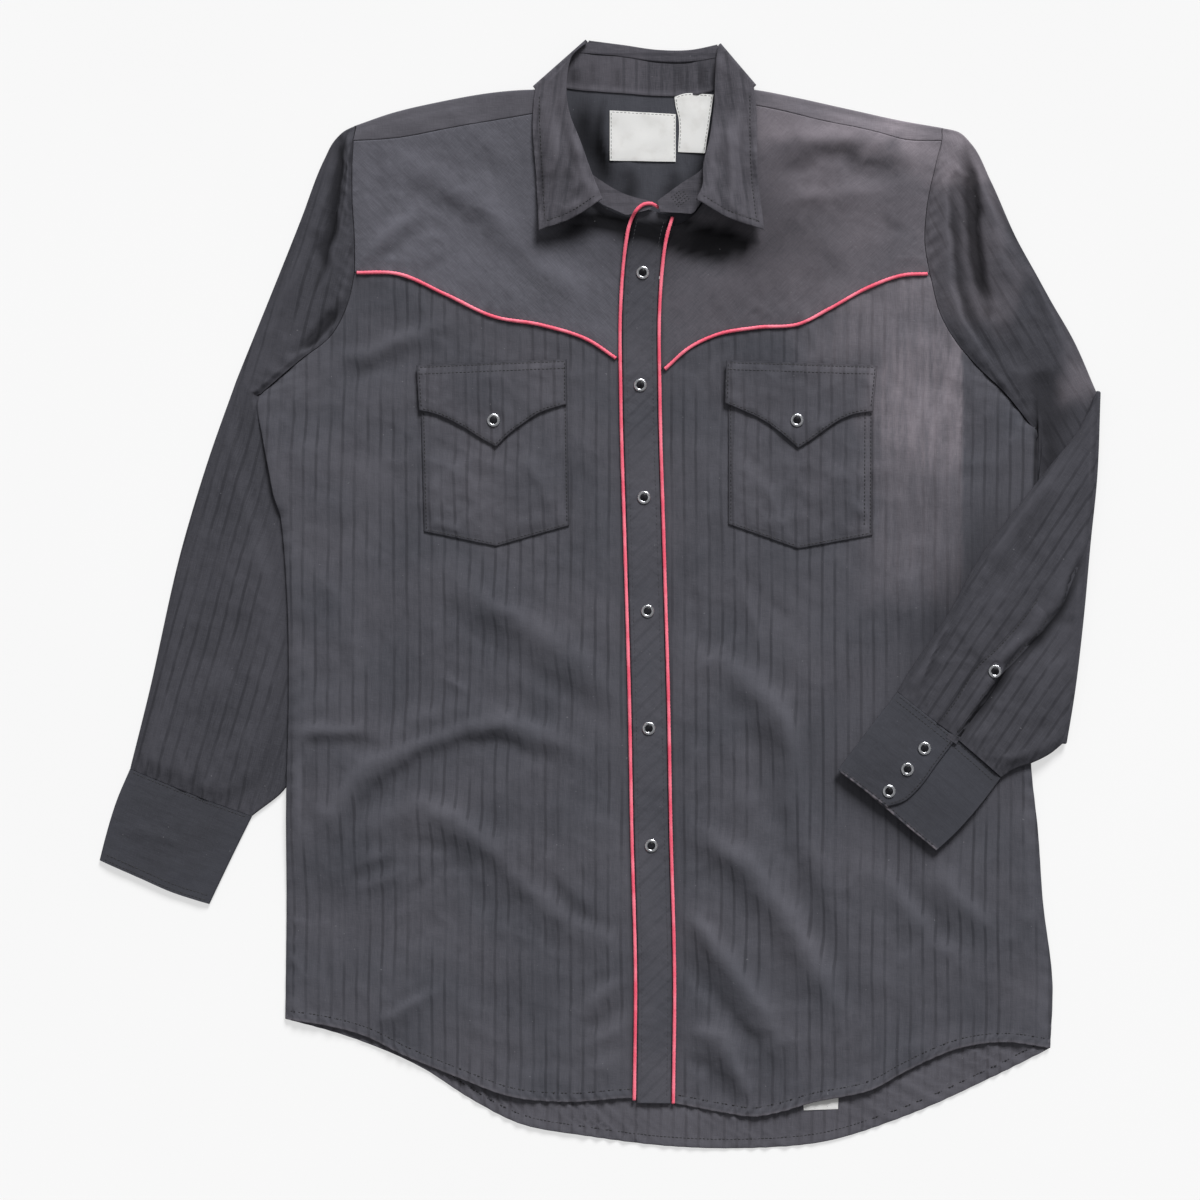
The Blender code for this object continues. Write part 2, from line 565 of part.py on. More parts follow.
def make_back_yoke():
    """The back yoke, and its two strips that turn over the shoulders to the shoulder seams."""
    folds_at = []
    for line, towards in ((SHOULDER_FOLD_L, (-150, 0)), (SHOULDER_FOLD_R, (200, 0))):
        edge = smooth(line, SHOULDER_STEPS)
        folds_at.append((edge, square_to(edge, towards)))
    half = BODY / 2
    (edge_l, in_l), (edge_r, in_r) = folds_at
    inset_l, inset_r = edge_l + in_l * half, edge_r + in_r * half
    neck = smooth(NECK_BACK, NECK_ROWS) - [0, SEAM]
    top = np.vstack([inset_l, neck, inset_r[::-1]])
    left = np.vstack([inset_l[0], smooth(ARMHOLE_YOKE_L, YOKE_ROWS)[1::2]])
    right = np.vstack([inset_r[0], smooth(ARMHOLE_YOKE_R, YOKE_ROWS)[1::2]])
    bottom = smooth(back_seam(), len(top) - 1)
    slab = fill(top, bottom, left, right)
    slab = trim(slab, bottom=SEAM / 2)
    # The slab is coarser than the sleeves along the curved armholes, so it keeps more room there
    slab[1:, 0] += [3 * SEAM, 0]
    slab[1:, -1] -= [3 * SEAM, 0]
    low = back_height(slab)
    patches = [(lifted(slab, low), lifted(slab, low + WALL))]
    for edge, inward, seam in ((edge_l, in_l, SHOULDER_SEAM_L), (edge_r, in_r, SHOULDER_SEAM_R)):
        inset = edge + inward * half
        base = back_height(inset)
        outer, inner = turn(edge, inward, half, 0.0, half, half - WALL)
        for rows in (outer, inner):
            rows[..., 2] += base + half
        patches.append((outer, inner))
        strip = np.stack([inset, smooth(seam, SHOULDER_STEPS)])
        strip = trim(strip, bottom=SEAM / 2)
        height = front_height(strip)
        height[0] = base + WALL + AIR
        patches.append((lifted(strip, height + WALL), lifted(strip, height)))
    shell("back_yoke", patches)


def make_sleeves():
    """Both sleeves as flattened tubes. The right one turns over at the elbow fold."""
    across, forearm_rows, slit_rows = 6, 11, 8
    armhole_rows = YOKE_ROWS + ARMHOLE_ROWS
    outer = join(smooth(CAP_L, armhole_rows), smooth(SLEEVE_L_OUT, UNDERARM_ROWS))
    inner = join(smooth(ARMHOLE_YOKE_L, YOKE_ROWS), smooth(ARMHOLE_LOW_L, ARMHOLE_ROWS),
                 smooth(SLEEVE_L_IN, UNDERARM_ROWS))
    grid = fill(smooth((CAP_L[0], ARMHOLE_YOKE_L[0]), across), smooth(CUFF_SEAM_L, across), outer, inner)
    grid = trim(grid, bottom=SEAM / 2)
    grid[:armhole_rows + 1] = trim(grid[:armhole_rows + 1], right=SEAM)
    grid[0] -= [SEAM, 0]
    tube("sleeve_left", [(row, on_floor) for row in grid], armhole_rows)

    fold = smooth(ELBOW_FOLD, across)
    inward = square_to(fold, NECK_MIDDLE)
    inset = fold + inward * ELBOW_REACH
    outer = join(smooth(CAP_R, armhole_rows),
                 smooth(np.vstack([SLEEVE_R_OUT[:-1], inset[0]]), UNDERARM_ROWS))
    inner = join(smooth(ARMHOLE_YOKE_R, YOKE_ROWS), smooth(ARMHOLE_LOW_R, ARMHOLE_ROWS),
                 smooth(np.vstack([SLEEVE_R_IN[:-1], inset[-1]]), UNDERARM_ROWS))
    upper = fill(smooth((CAP_R[0], ARMHOLE_YOKE_R[0]), across), inset, outer, inner)
    upper[:armhole_rows + 1] = trim(upper[:armhole_rows + 1], right=SEAM)
    upper[0] += [SEAM, 0]
    forearm = fill(inset, smooth(CUFF_SEAM_R, across),
                   smooth(np.vstack([inset[0], FOREARM_OUT[1:]]), forearm_rows),
                   smooth(np.vstack([inset[-1], FOREARM_IN[1:]]), forearm_rows))
    forearm = trim(forearm, bottom=SEAM / 2)
    swing = np.vstack([inward[::-1], inward[:1], inward, inward[-1:], inward[-1:]])
    turn_rows = [(fold, at_elbow(swing, angle)) for angle in ELBOW_ANGLES]
    upper_rows = [(row, on_floor) for row in upper]
    lower_rows = [(row, on_front) for row in forearm]
    tube("sleeve_right", upper_rows + turn_rows + lower_rows, armhole_rows)

    slit = shift(smooth(SLIT_EDGE, slit_rows), SLEEVE_PLACKET_HALF)
    band = ribbon_grid(slit, (-SLEEVE_PLACKET_HALF, 0.0, SLEEVE_PLACKET_HALF))
    sheet("sleeve_placket", band, forearm_height(band) + BODY + 2 * SEAM)


def make_cuffs():
    """The hanging cuff is a flattened ring. The folded one shows how its ends overlap."""
    across, length = 8, 3
    ring = fill(smooth(CUFF_SEAM_L, across), smooth(CUFF_L_END, across),
                smooth(CUFF_L_OUT, length), smooth(CUFF_L_IN, length))
    ring = trim(ring, top=SEAM / 2)
    tube("cuff_left", [(row, on_floor) for row in ring])

    steps = 4
    layers = {"under": 0.0, "middle": 2 * CUFF_INNER_TURN - WALL, "over": 2 * CUFF_OUTER_TURN - WALL}
    left_edge, right_edge = smooth(CUFF_R_OUT, steps), smooth(CUFF_R_IN, steps)
    in_left, in_right = square_to(left_edge, CUFF_R_MIDDLE), square_to(right_edge, CUFF_R_MIDDLE)
    left, right = left_edge + in_left * CUFF_OUTER_TURN, right_edge + in_right * CUFF_INNER_TURN
    seam, end = CUFF_SEAM_R[1:-1], CUFF_R_END[1:-1]
    under = fill(smooth(np.vstack([left[0], seam, right[0]]), 7),
                 smooth(np.vstack([left[-1], end, right[-1]]), 7), left, right)
    middle_end, over_end = smooth(UNDERLAP_END, steps), smooth(OVERLAP_END, steps)
    middle = fill(smooth((middle_end[0], seam[1], right[0]), 4), smooth((middle_end[-1], end[1], right[-1]), 4),
                  middle_end, right)
    over = fill(smooth((left[0], seam[0], over_end[0]), 5), smooth((left[-1], over_end[-1]), 5), left, over_end)
    patches = []
    for grid, level, faces_down in ((under, "under", True), (middle, "middle", False), (over, "over", False)):
        grid = trim(grid, top=SEAM / 2)
        if level == "under":
            corner_left, corner_right = grid[:, 0], grid[:, -1]
        elif level == "middle":
            grid[:, -1] = corner_right
        else:
            grid[:, 0] = corner_left
        low = cuff_height(grid) + layers[level]
        lower, upper = lifted(grid, low), lifted(grid, low + WALL)
        patches.append((lower, upper) if faces_down else (upper, lower))
    for line, inward, radius in ((corner_left, in_left, CUFF_OUTER_TURN),
                                 (corner_right, in_right, CUFF_INNER_TURN)):
        outer, inner = turn(line - inward * radius, inward, radius, 0.0, radius, radius - WALL)
        for rows in (outer, inner):
            rows[..., 2] += cuff_height(line) + radius
        patches.append((outer, inner))
    shell("cuff_right", patches)


def collar_side(fold, inner_edge, outer_edge, end, across, length):
    """A collar's corner fold, the way in from it, where its turn ends, and the grid on to the front end."""
    line = smooth(fold, across)
    inward = square_to(line, NECK_MIDDLE)
    inset = line + inward * COLLAR_CENTRE
    side = fill(inset, smooth(end, across), smooth(np.vstack([inset[0], inner_edge[1:]]), length),
                smooth(np.vstack([inset[-1], outer_edge[1:]]), length))
    return line, inward, inset, side


def make_collar():
    """Leaf and stand. Both run round the neck: under the back, and on the front at the sides."""
    across, length, round_back = 4, 9, 10
    line_l, in_l, inset_l, side_l = collar_side(COLLAR_FOLD_L, ROLL_L, FREE_L, LEAF_END_L, across, length)
    line_r, in_r, inset_r, side_r = collar_side(COLLAR_FOLD_R, ROLL_R, FREE_R, LEAF_END_R, across, length)
    half = (COLLAR_LIFT + WALL) / 2
    roll = smooth(ROLL_BACK, round_back)
    roll_inset = roll + square_to(roll, NECK_MIDDLE) * half
    top = smooth(np.vstack([inset_l[0], roll_inset[1:-1], inset_r[0]]), round_back)
    bottom = smooth(np.vstack([inset_l[-1], FREE_BACK, inset_r[-1]]), round_back)
    under = fill(top, bottom, inset_l, inset_r)
    patches = [(lifted(under, 0.0), lifted(under, WALL))]
    for line, inward_line, side in ((line_l, in_l, side_l), (line_r, in_r, side_r)):
        patches.append(turn(line, inward_line, COLLAR_CENTRE, COLLAR_CENTRE, COLLAR_CENTRE,
                            COLLAR_CENTRE - WALL))
        height = back_height(side) + BODY + SEAM
        patches.append((lifted(side, height + WALL), lifted(side, height)))
    hook = under[0, 1:-1]
    hook_in = square_to(hook, NECK_MIDDLE)
    patches.append(turn(hook - hook_in * half, hook_in, half, half, half, half - WALL))
    strip = np.stack([hook, hook + hook_in * SHORT_STRIP])
    patches.append((lifted(strip, COLLAR_LIFT + WALL), lifted(strip, COLLAR_LIFT)))
    shell("collar_leaf", patches)

    across = 3
    sides = []
    for fold, shoulder, inner_edge, neckline, tip in (
            (STAND_FOLD_L, STAND_SHOULDER_L, STAND_IN_L, NECKLINE_L, STAND_TIP_L),
            (STAND_FOLD_R, STAND_SHOULDER_R, STAND_IN_R, NECKLINE_R, STAND_TIP_R)):
        line = smooth(fold, across)
        inward = square_to(line, NECK_MIDDLE)
        inset = line + inward * COLLAR_CENTRE
        seam = smooth(neckline, NECK_ROWS)
        seam = seam + square_to(seam, NECK_MIDDLE) * 2 * SEAM
        outer = np.vstack([inset[-1], shoulder, seam[:-1], tip])
        inner = smooth(np.vstack([inset[0], inner_edge[1:]]), len(outer) - 1)
        side = fill(inset, smooth((inner_edge[-1], tip), across), inner, outer)
        sides.append((line, inward, inset, side))
    (_, _, inset_l, _), (_, _, inset_r, _) = sides
    bottom = np.vstack([inset_l[-1], smooth(NECK_BACK, NECK_ROWS), inset_r[-1]])
    top = smooth(np.vstack([inset_l[0], STAND_TOP, inset_r[0]]), len(bottom) - 1)
    under = fill(top, bottom, inset_l, inset_r)
    patches = [(lifted(under, COLLAR_LIFT), lifted(under, COLLAR_LIFT + WALL))]
    outer_radius = COLLAR_CENTRE - COLLAR_LIFT
    for line, inward_line, _, side in sides:
        patches.append(turn(line, inward_line, COLLAR_CENTRE, COLLAR_CENTRE, outer_radius, outer_radius - WALL))
        height = back_height(side) + WALL + AIR
        patches.append((lifted(side, height + WALL), lifted(side, height)))
    shell("collar_stand", patches)


def make_trims():
    """Placket, pipings, pockets, flaps and labels."""
    middle = smooth(PLACKET_MID[1:], PLACKET_ROWS)
    band = ribbon_grid(middle, np.linspace(-PLACKET_HALF, PLACKET_HALF, 4))
    sheet("placket", band, front_top(band) + SEAM)

    left_line, right_line = shift(middle, -PIPING_AT), shift(middle, PIPING_AT)
    straight = left_line[left_line[:, 1] < CURL_JOINS]
    piping("piping_placket_left", smooth(np.vstack([PIPING_CURL, straight]), PLACKET_ROWS + 2))
    piping("piping_placket_right", right_line)
    for side, (start, end), inside in (("left", YOKE_PIPING_ENDS_L, YOKE_SEAM_L[1:-1]),
                                       ("right", YOKE_PIPING_ENDS_R, YOKE_SEAM_R[1:])):
        piping(f"piping_yoke_{side}", smooth(np.vstack([start, inside, end]), ACROSS_FRONT))

    for side, pocket, flap in (("left", POCKET_L, FLAP_L), ("right", POCKET_R, FLAP_R)):
        for name, shape, level, halves, rows in (("pocket", pocket, SEAM, 3, 5),
                                                 ("flap", flap, SEAM + WALL + SEAM, 5, 3)):
            bottom = join(smooth(shape["bottom left"], halves), smooth(shape["bottom right"], halves))
            grid = fill(smooth(shape["top"], 2 * halves), bottom,
                        smooth(shape["left"], rows), smooth(shape["right"], rows))
            sheet(f"{name}_{side}", grid, front_top(grid) + level)

    for name, shape in (("label_main", LABEL_MAIN), ("label_care", LABEL_CARE), ("label_hem", LABEL_HEM)):
        grid = fill(*(smooth(shape[edge], 3) for edge in ("top", "bottom", "left", "right")))
        sheet(name, grid, back_height(grid) + WALL + SEAM, "label", LABEL_WALL)


def make_snaps():
    """Ring-and-cap snaps, each a turned solid."""
    surface = {
        "placket": lambda xy: front_top(xy) + SEAM + WALL,
        "flap": lambda xy: front_top(xy) + 2 * (SEAM + WALL),
        "cuff": lambda xy: cuff_height(xy) + 2 * CUFF_OUTER_TURN + SEAM,
        "sleeve placket": lambda xy: forearm_height(xy) + BODY + 2 * SEAM + WALL,
    }
    for name, x, y, carrier in SNAPS:
        z = float(surface[carrier](np.array([x, y], float))) + SEAM
        mesh = bmesh.new()
        rings = []
        for radius, height in SNAP_PROFILE:
            spokes = [2 * math.pi * k / SNAP_SIDES for k in range(SNAP_SIDES)]
            rings.append([mesh.verts.new(((x + radius * math.cos(spoke)) * MM,
                                          (y + radius * math.sin(spoke)) * MM,
                                          (z + height) * MM)) for spoke in spokes])
        mesh.faces.new(rings[0][::-1])
        for lower, upper in zip(rings, rings[1:]):
            for k in range(SNAP_SIDES):
                nxt = (k + 1) % SNAP_SIDES
                mesh.faces.new((lower[k], lower[nxt], upper[nxt], upper[k]))
        crown = mesh.verts.new((x * MM, y * MM, (z + SNAP_CROWN) * MM))
        for k in range(SNAP_SIDES):
            mesh.faces.new((rings[-1][k], rings[-1][(k + 1) % SNAP_SIDES], crown))
        add_object(name, mesh, "snap")


def main():
    clean_scene()
    make_body()
    make_back_yoke()
    make_sleeves()
    make_cuffs()
    make_collar()
    make_trims()
    make_snaps()


main()
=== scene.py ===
"""The looks of a western snap shirt that lies flat on its back, front up.

Each piece of cloth is a thin shell on its solid's form, with creases laid on it. Sizes are in
millimetres and are turned into metres when a mesh is made. The outlines are those of the solids.
"""

import math

import bmesh
import bpy
import numpy as np
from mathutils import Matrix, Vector
from mathutils.bvhtree import BVHTree


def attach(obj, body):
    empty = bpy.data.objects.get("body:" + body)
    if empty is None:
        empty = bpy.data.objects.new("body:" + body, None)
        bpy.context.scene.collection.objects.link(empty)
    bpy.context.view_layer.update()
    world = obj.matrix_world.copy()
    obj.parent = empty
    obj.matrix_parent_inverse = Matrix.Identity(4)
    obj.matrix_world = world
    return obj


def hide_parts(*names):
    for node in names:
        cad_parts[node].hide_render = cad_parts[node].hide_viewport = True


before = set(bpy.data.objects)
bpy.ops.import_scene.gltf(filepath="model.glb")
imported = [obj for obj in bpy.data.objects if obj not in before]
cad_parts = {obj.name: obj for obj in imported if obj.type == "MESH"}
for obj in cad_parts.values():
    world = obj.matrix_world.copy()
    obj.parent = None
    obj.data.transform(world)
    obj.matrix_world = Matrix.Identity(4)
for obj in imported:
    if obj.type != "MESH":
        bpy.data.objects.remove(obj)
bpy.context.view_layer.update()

MM = 0.001

# The room between the solids' layers, as in the solids
WALL = 1.0
SEAM = 0.3
AIR = 1.0
BODY = WALL + AIR + WALL
COLLAR_LIFT = WALL + SEAM
COLLAR_CENTRE = COLLAR_LIFT + WALL + AIR / 2
SLEEVE_LIFT = BODY + 0.5
ELBOW_BEND = 0.6
ELBOW_REACH = BODY + ELBOW_BEND
OVER_FRONT = 0.9
FOREARM_RISE = 30.0
CUFF_OUTER_TURN = 1.8
CUFF_INNER_TURN = 1.15
PLACKET_HALF = 13.8
PIPING_AT = 16.0
CURL_JOINS = 292.0
SLEEVE_PLACKET_HALF = 10.0
SHORT_STRIP = 8.8

# Cloth as it shows
PLY = 0.85            # one layer
LABEL_PLY = 0.35
ROUND = (0.25, 0.8)   # distances from an edge of the rows that round it
CURVE_STEPS = 24
END_ROOM = 4.0
TURNS = (-90, -60, -30, 0, 30, 60, 90)
ELBOW_TURNS = (-75, -50, -25, 0, 25, 50, 75)
TUBE_TURNS = (-60, -30, 0, 30, 60)
TUCK = ((0.3, 0.5), (0.7, 0.92), (2.6, 0.95))   # a seam allowance: how far in, how high
LAYER_HIGH = 0.9      # the highest that the allowance starts from

# How finely each piece is divided
ACROSS = 120
NECK_ROWS = 36
YOKE_ROWS = 54
ARMHOLE_ROWS = 50
SIDE_ROWS = 160
UNDERARM_ROWS = 100
BAND_ROWS = 300
BACK_FINE = 31       # rows at the back's hem, where it shows

# Looks
STRIPE_EVERY = 10.3
SLEEVE_L_LEAN, SLEEVE_R_LEAN, FOREARM_LEAN = -15.3, 30, -34   # the stripes' lean, in degrees
STRIPE_PULL = 0.7     # how far a stripe moves sideways for each millimetre of height
PAINTED_SHADE_MOST, PAINTED_SHADE_SHARE = 5.4, 0.18     # the most painted shade, and how far each step of it darkens the colour
CHARCOAL = (0.0507, 0.0523, 0.0624, 1.0)
CHARCOAL_PALE = (0.0646, 0.0657, 0.0774, 1.0)
SLEEVE_DEEP = (0.0424, 0.0427, 0.0503, 1.0)
SLEEVE_PALE = (0.0547, 0.0543, 0.0638, 1.0)
CUFF_DEEP = (0.0423, 0.0427, 0.0499, 1.0)
COLLAR_DEEP = (0.0444, 0.0443, 0.0521, 1.0)
COLLAR_PALE = (0.0888, 0.0845, 0.0981, 1.0)
YOKE_DEEP = (0.0717, 0.0717, 0.0834, 1.0)
YOKE_PALE = (0.0974, 0.0964, 0.1138, 1.0)
YOKE_WORN = (0.0888, 0.0822, 0.0945, 1.0)
BLEACHED = (0.285, 0.254, 0.284, 1.0)
PINK_DEEP = (0.80, 0.055, 0.12, 1.0)
PINK_PALE = (0.95, 0.17, 0.25, 1.0)
PINK_FUZZ = (0.95, 0.42, 0.5, 1.0)
LABEL_WHITE = (0.74, 0.74, 0.73, 1.0)
LABEL_GREY = (0.52, 0.51, 0.5, 1.0)
LABEL_SOILED = (0.5, 0.48, 0.45, 1.0)
LINT = (0.3, 0.3, 0.32, 1.0)
SHEEN = (0.82, 0.82, 0.9, 1.0)
CHROME_DEEP, CHROME_PALE = (0.42, 0.43, 0.46, 1.0), (0.74, 0.75, 0.78, 1.0)
PEARL_DEEP, PEARL_PALE = (0.003, 0.003, 0.004, 1.0), (0.02, 0.02, 0.025, 1.0)
THREAD_DARK, THREAD_GREY = (0.008, 0.008, 0.010, 1.0), (0.040, 0.040, 0.048, 1.0)
FLOOR_DEEP, FLOOR_PALE = (0.34, 0.34, 0.34, 1.0), (0.36, 0.36, 0.36, 1.0)
WHITE = (1.0, 1.0, 1.0, 1.0)

# Shades, as shares of a cloth's pale or deep colour, and how much of each is mixed in.
# The crests' is a painted highlight and the hollows' a painted shade.
THREAD_PALE, STREAK_PALE, CREST_PALE, SATIN_DARK, PAINTED_SHADE_DARK = 1.46, 1.26, 1.40, 0.68, 0.06
STREAK_SHARE, CREST_SHARE, LINT_SHARE = 0.38, 0.42, 0.24

# Light and camera
FLOOR_Z = -0.0003
FILL = 0.30
KEY, KEY_FROM = 4.3, (0.24, 0.82, 0.52)
SECOND, SECOND_FROM = 0.12, (-0.8, -0.1, 1.2)
FLOOR_GLOW = 0.575       # keeps the shadows on it faint
FRAME_WIDTH = 984.0
FRAME_MIDDLE_Y = -4.9

CUTS = {              # metres: width, length, what it lies on
    "back": (0.66, 0.73, "sleeve_left"),
    "back_yoke": (0.50, 0.20, "collar_leaf"),
    "front_left": (0.34, 0.69, "back"),
    "front_right": (0.34, 0.69, "back"),
    "yoke_left": (0.27, 0.24, "back_yoke"),
    "yoke_right": (0.27, 0.24, "back_yoke"),
    "sleeve_left": (0.43, 0.60, "floor"),
    "sleeve_right": (0.43, 0.60, "floor"),
    "cuff_left": (0.24, 0.09, "floor"),
    "cuff_right": (0.24, 0.09, "front_right"),
    "collar_leaf": (0.46, 0.09, "back_yoke"),
    "collar_stand": (0.46, 0.05, "back_yoke"),
    "placket": (0.028, 0.72, "front_left"),
    "sleeve_placket": (0.02, 0.14, "sleeve_right"),
    "pocket_left": (0.12, 0.14, "front_left"),
    "pocket_right": (0.12, 0.14, "front_right"),
    "flap_left": (0.125, 0.07, "pocket_left"),
    "flap_right": (0.125, 0.07, "pocket_right"),
    "label_main": (0.055, 0.042, "back_yoke"),
    "label_care": (0.027, 0.044, "back_yoke"),
    "label_hem": (0.031, 0.023, "back"),
}

# Outlines: x, y of the few points that each smooth edge runs through.
# Shoulders and armholes
SHOULDER_FOLD_L = ((-200, 384), (-171, 394), (-133, 403), (-86, 411), (-60, 413), (-38, 413))
SHOULDER_SEAM_L = ((-202, 371), (-171, 373), (-114, 383), (-56, 393), (-38, 396))
ARMHOLE_YOKE_L = ((-202, 371), (-203, 352), (-203, 325), (-201, 287), (-201, 263))
ARMHOLE_LOW_L = ((-201, 263), (-206, 240), (-220, 212), (-246, 191), (-280, 162))
SHOULDER_FOLD_R = ((280, 382), (246, 388), (205, 397), (159, 407), (127, 413), (110, 415))
SHOULDER_SEAM_R = ((280, 371), (250, 372), (227, 378), (180, 388), (127, 400), (110, 402))
ARMHOLE_YOKE_R = ((280, 371), (275, 352), (267, 311), (266, 286), (270, 262))
ARMHOLE_LOW_R = ((270, 262), (279, 228), (291, 207), (309, 186), (330, 166), (356, 134))

# Body
SIDE_L = ((-280, 162), (-271, 117), (-262, 67), (-256, -8), (-255, -87), (-257, -169), (-257, -251),
          (-258, -348))
SIDE_R = ((356, 134), (355, 102), (353, 28), (353, -71), (353, -140), (359, -194), (363, -251), (371, -321),
          (369, -372))
YOKE_SEAM_L = ((-201, 263), (-166, 262), (-126, 245), (-87, 227), (-48, 220), (-8, 207), (15, 192))
YOKE_SEAM_R = ((270, 262), (249, 261), (220, 251), (187, 233), (163, 221), (128, 218), (95, 212), (74, 202))
YOKE_END_Y_L, YOKE_END_Y_R = 184, 183   # where the yoke seams end at the placket
YOKE_PIPING_ENDS_L = ((-199, 263), (13, 193))
YOKE_PIPING_ENDS_R = ((268, 262), (53, 184))
NECKLINE_L = ((-38, 396), (-31, 364), (-15, 334), (2, 317), (20, 309), (44, 308))
NECKLINE_R = ((110, 402), (104, 368), (95, 339), (84, 320), (74, 308), (63, 302), (59, 300))
HEM_L = ((-258, -348), (-221, -354), (-195, -361), (-160, -378), (-116, -396), (-71, -412), (-26, -416),
         (26, -413), (58, -416))
HEM_R = ((60, -417), (102, -425), (125, -428), (148, -424), (171, -417), (224, -405), (252, -390),
         (298, -371), (332, -367), (369, -372))
HEM_BACK = ((-258, -348), (-205, -363), (-146, -388), (-107, -413), (-68, -433), (-11, -444), (66, -453),
            (125, -454), (182, -449), (252, -427), (321, -396), (369, -372))
BACK_SEAM_DIP = 4     # the back yoke's straight seam dips this much at its middle
PLACKET_MID = ((44, 313), (40, 300), (37, 285), (35, 268), (33, 239), (33, 161), (36, 52), (40, -87),
               (42, -194), (45, -314), (44, -417))

# Sleeves and cuffs
CAP_L = ((-200, 384), (-210, 379), (-218, 371), (-226, 356), (-245, 307), (-298, 175))
SLEEVE_L_OUT = ((-298, 175), (-321, 110), (-341, 44), (-371, -87), (-385, -143))
SLEEVE_L_IN = ((-280, 162), (-277.4, 142), (-273.6, 122), (-269.6, 102), (-264.5, 82), (-249, 36),
               (-238, -13), (-237, -71), (-244, -120), (-256, -157), (-285, -182))
CUFF_SEAM_L = ((-385, -143), (-351, -157), (-316, -171), (-285, -182))
CUFF_L_OUT = ((-385, -143), (-396, -169), (-406, -202), (-410, -218))
CUFF_L_IN = ((-285, -182), (-295, -202), (-311, -235), (-320, -254))
CUFF_L_END = ((-410, -218), (-376, -233), (-351, -244), (-320, -254))
CAP_R = ((280, 382), (295, 378), (305, 368), (320, 339), (342, 290), (358, 261))
SLEEVE_R_OUT = ((358, 261), (369, 241), (388, 208), (410, 166))
SLEEVE_R_IN = ((356, 134), (356.8, 118), (356.4, 102), (355.6, 86), (354.6, 70), (346, 30), (334, -21),
               (333, -79), (351, -110), (382, -123))
ELBOW_FOLD = ((410, 166), (407, 93), (402, 44), (396, -21), (388, -87), (382, -123))
FOREARM_OUT = ((410, 166), (390, 132), (368, 105), (347, 79), (328, 55), (312, 33), (298, 9), (288, -10),
               (270, -38), (251, -66), (243, -80))
FOREARM_IN = ((382, -123), (369, -130), (353, -138), (337, -144), (328, -150))
CUFF_SEAM_R = ((243, -80), (266, -98), (291, -118), (328, -150))
CUFF_R_OUT = ((243, -80), (218, -112), (194, -144))
CUFF_R_IN = ((328, -150), (312, -171), (290, -196), (275, -210))
CUFF_R_END = ((194, -144), (232, -173), (251, -190), (275, -210))
CUFF_R_MIDDLE = (255, -150)
OVERLAP_END = ((291, -118), (275, -139), (261, -158), (249, -169), (234, -174))
UNDERLAP_END = ((272, -103), (220, -164))
SLIT_EDGE = ((291, -117), (306, -96), (321, -72), (337, -57), (354, -38), (375, -11))

# Collar
NECK_MIDDLE = (37, 380)   # tells an edge's inner side
COLLAR_FOLD_L = ((-12, 454), (-55, 416))
COLLAR_FOLD_R = ((99, 451), (128, 417))
ROLL_BACK = ((-12, 454), (19, 450), (48, 446), (74, 446), (99, 451))
FREE_BACK = ((-29, 404), (37, 400), (102, 404))
ROLL_L = ((-12, 454), (-22, 441), (-27, 421), (-26, 399), (-15, 367), (-7, 344), (2, 321))
FREE_L = ((-55, 416), (-55, 395), (-52, 337), (-50, 297))
LEAF_END_L = ((2, 321), (-23, 306), (-50, 297))
ROLL_R = ((99, 451), (95, 438), (93, 400), (89, 371), (84, 350), (83, 332), (78, 321))
FREE_R = ((128, 417), (128, 395), (129, 345), (134, 297))
LEAF_END_R = ((78, 321), (99, 309), (134, 297))
STAND_TOP = ((-8, 442), (19, 440), (48, 435), (74, 435), (92, 440))
STAND_FOLD_L = ((-20, 446), (-44, 424))
STAND_FOLD_R = ((105, 444), (121, 425))
NECK_BACK = ((-33, 415), (-20, 413), (19, 410), (44, 408), (80, 409), (106, 416))
STAND_IN_L = ((-20, 446), (-25, 438), (-29, 420), (-28, 397), (-16, 366), (-9, 345), (0, 338), (19, 327),
              (44, 320))
STAND_TIP_L = (41, 314)
STAND_SHOULDER_L = (-36, 416)
STAND_IN_R = ((105, 444), (99, 435), (95, 417), (95, 399), (91, 370), (84, 348), (66, 335), (47, 321))
STAND_TIP_R = (49, 312)
STAND_SHOULDER_R = (108, 418)
# The left piping's top, which curls over the placket
PIPING_CURL = ((48, 316), (42, 318.5), (36, 318), (30.5, 314), (26, 307), (23, 298))

# Flat shapes: x, y of the corners
POCKET_L = {"top": ((-147, 180), (-27, 180)),
            "left": ((-147, 180), (-144, 51)), "right": ((-27, 180), (-25, 56)),
            "bottom left": ((-144, 51), (-85, 39)), "bottom right": ((-85, 39), (-25, 56))}
POCKET_R = {"top": ((105, 180), (224, 180)),
            "left": ((105, 180), (105, 57)), "right": ((224, 180), (223, 48)),
            "bottom left": ((105, 57), (162, 37)), "bottom right": ((162, 37), (223, 48))}
FLAP_L = {"top": ((-150, 187), (-27, 192)),
          "left": ((-150, 187), (-148, 150)), "right": ((-27, 192), (-27, 155)),
          "bottom left": ((-148, 150), (-135, 147), (-123, 142), (-110, 135), (-99, 128), (-85, 120)),
          "bottom right": ((-85, 120), (-75, 130), (-63, 139), (-51, 147), (-38, 152), (-27, 155))}
FLAP_R = {"top": ((103, 191), (227, 187)),
          "left": ((103, 191), (102, 156)), "right": ((227, 187), (223, 149)),
          "bottom left": ((102, 156), (116, 150), (133, 142), (147, 132), (162, 119)),
          "bottom right": ((162, 119), (173, 126), (184, 134), (198, 143), (209, 147), (223, 149))}
LABEL_MAIN = {"top": ((8, 396), (62, 393)), "bottom": ((8, 355), (62, 354)),
              "left": ((8, 396), (8, 355)), "right": ((62, 393), (62, 354))}
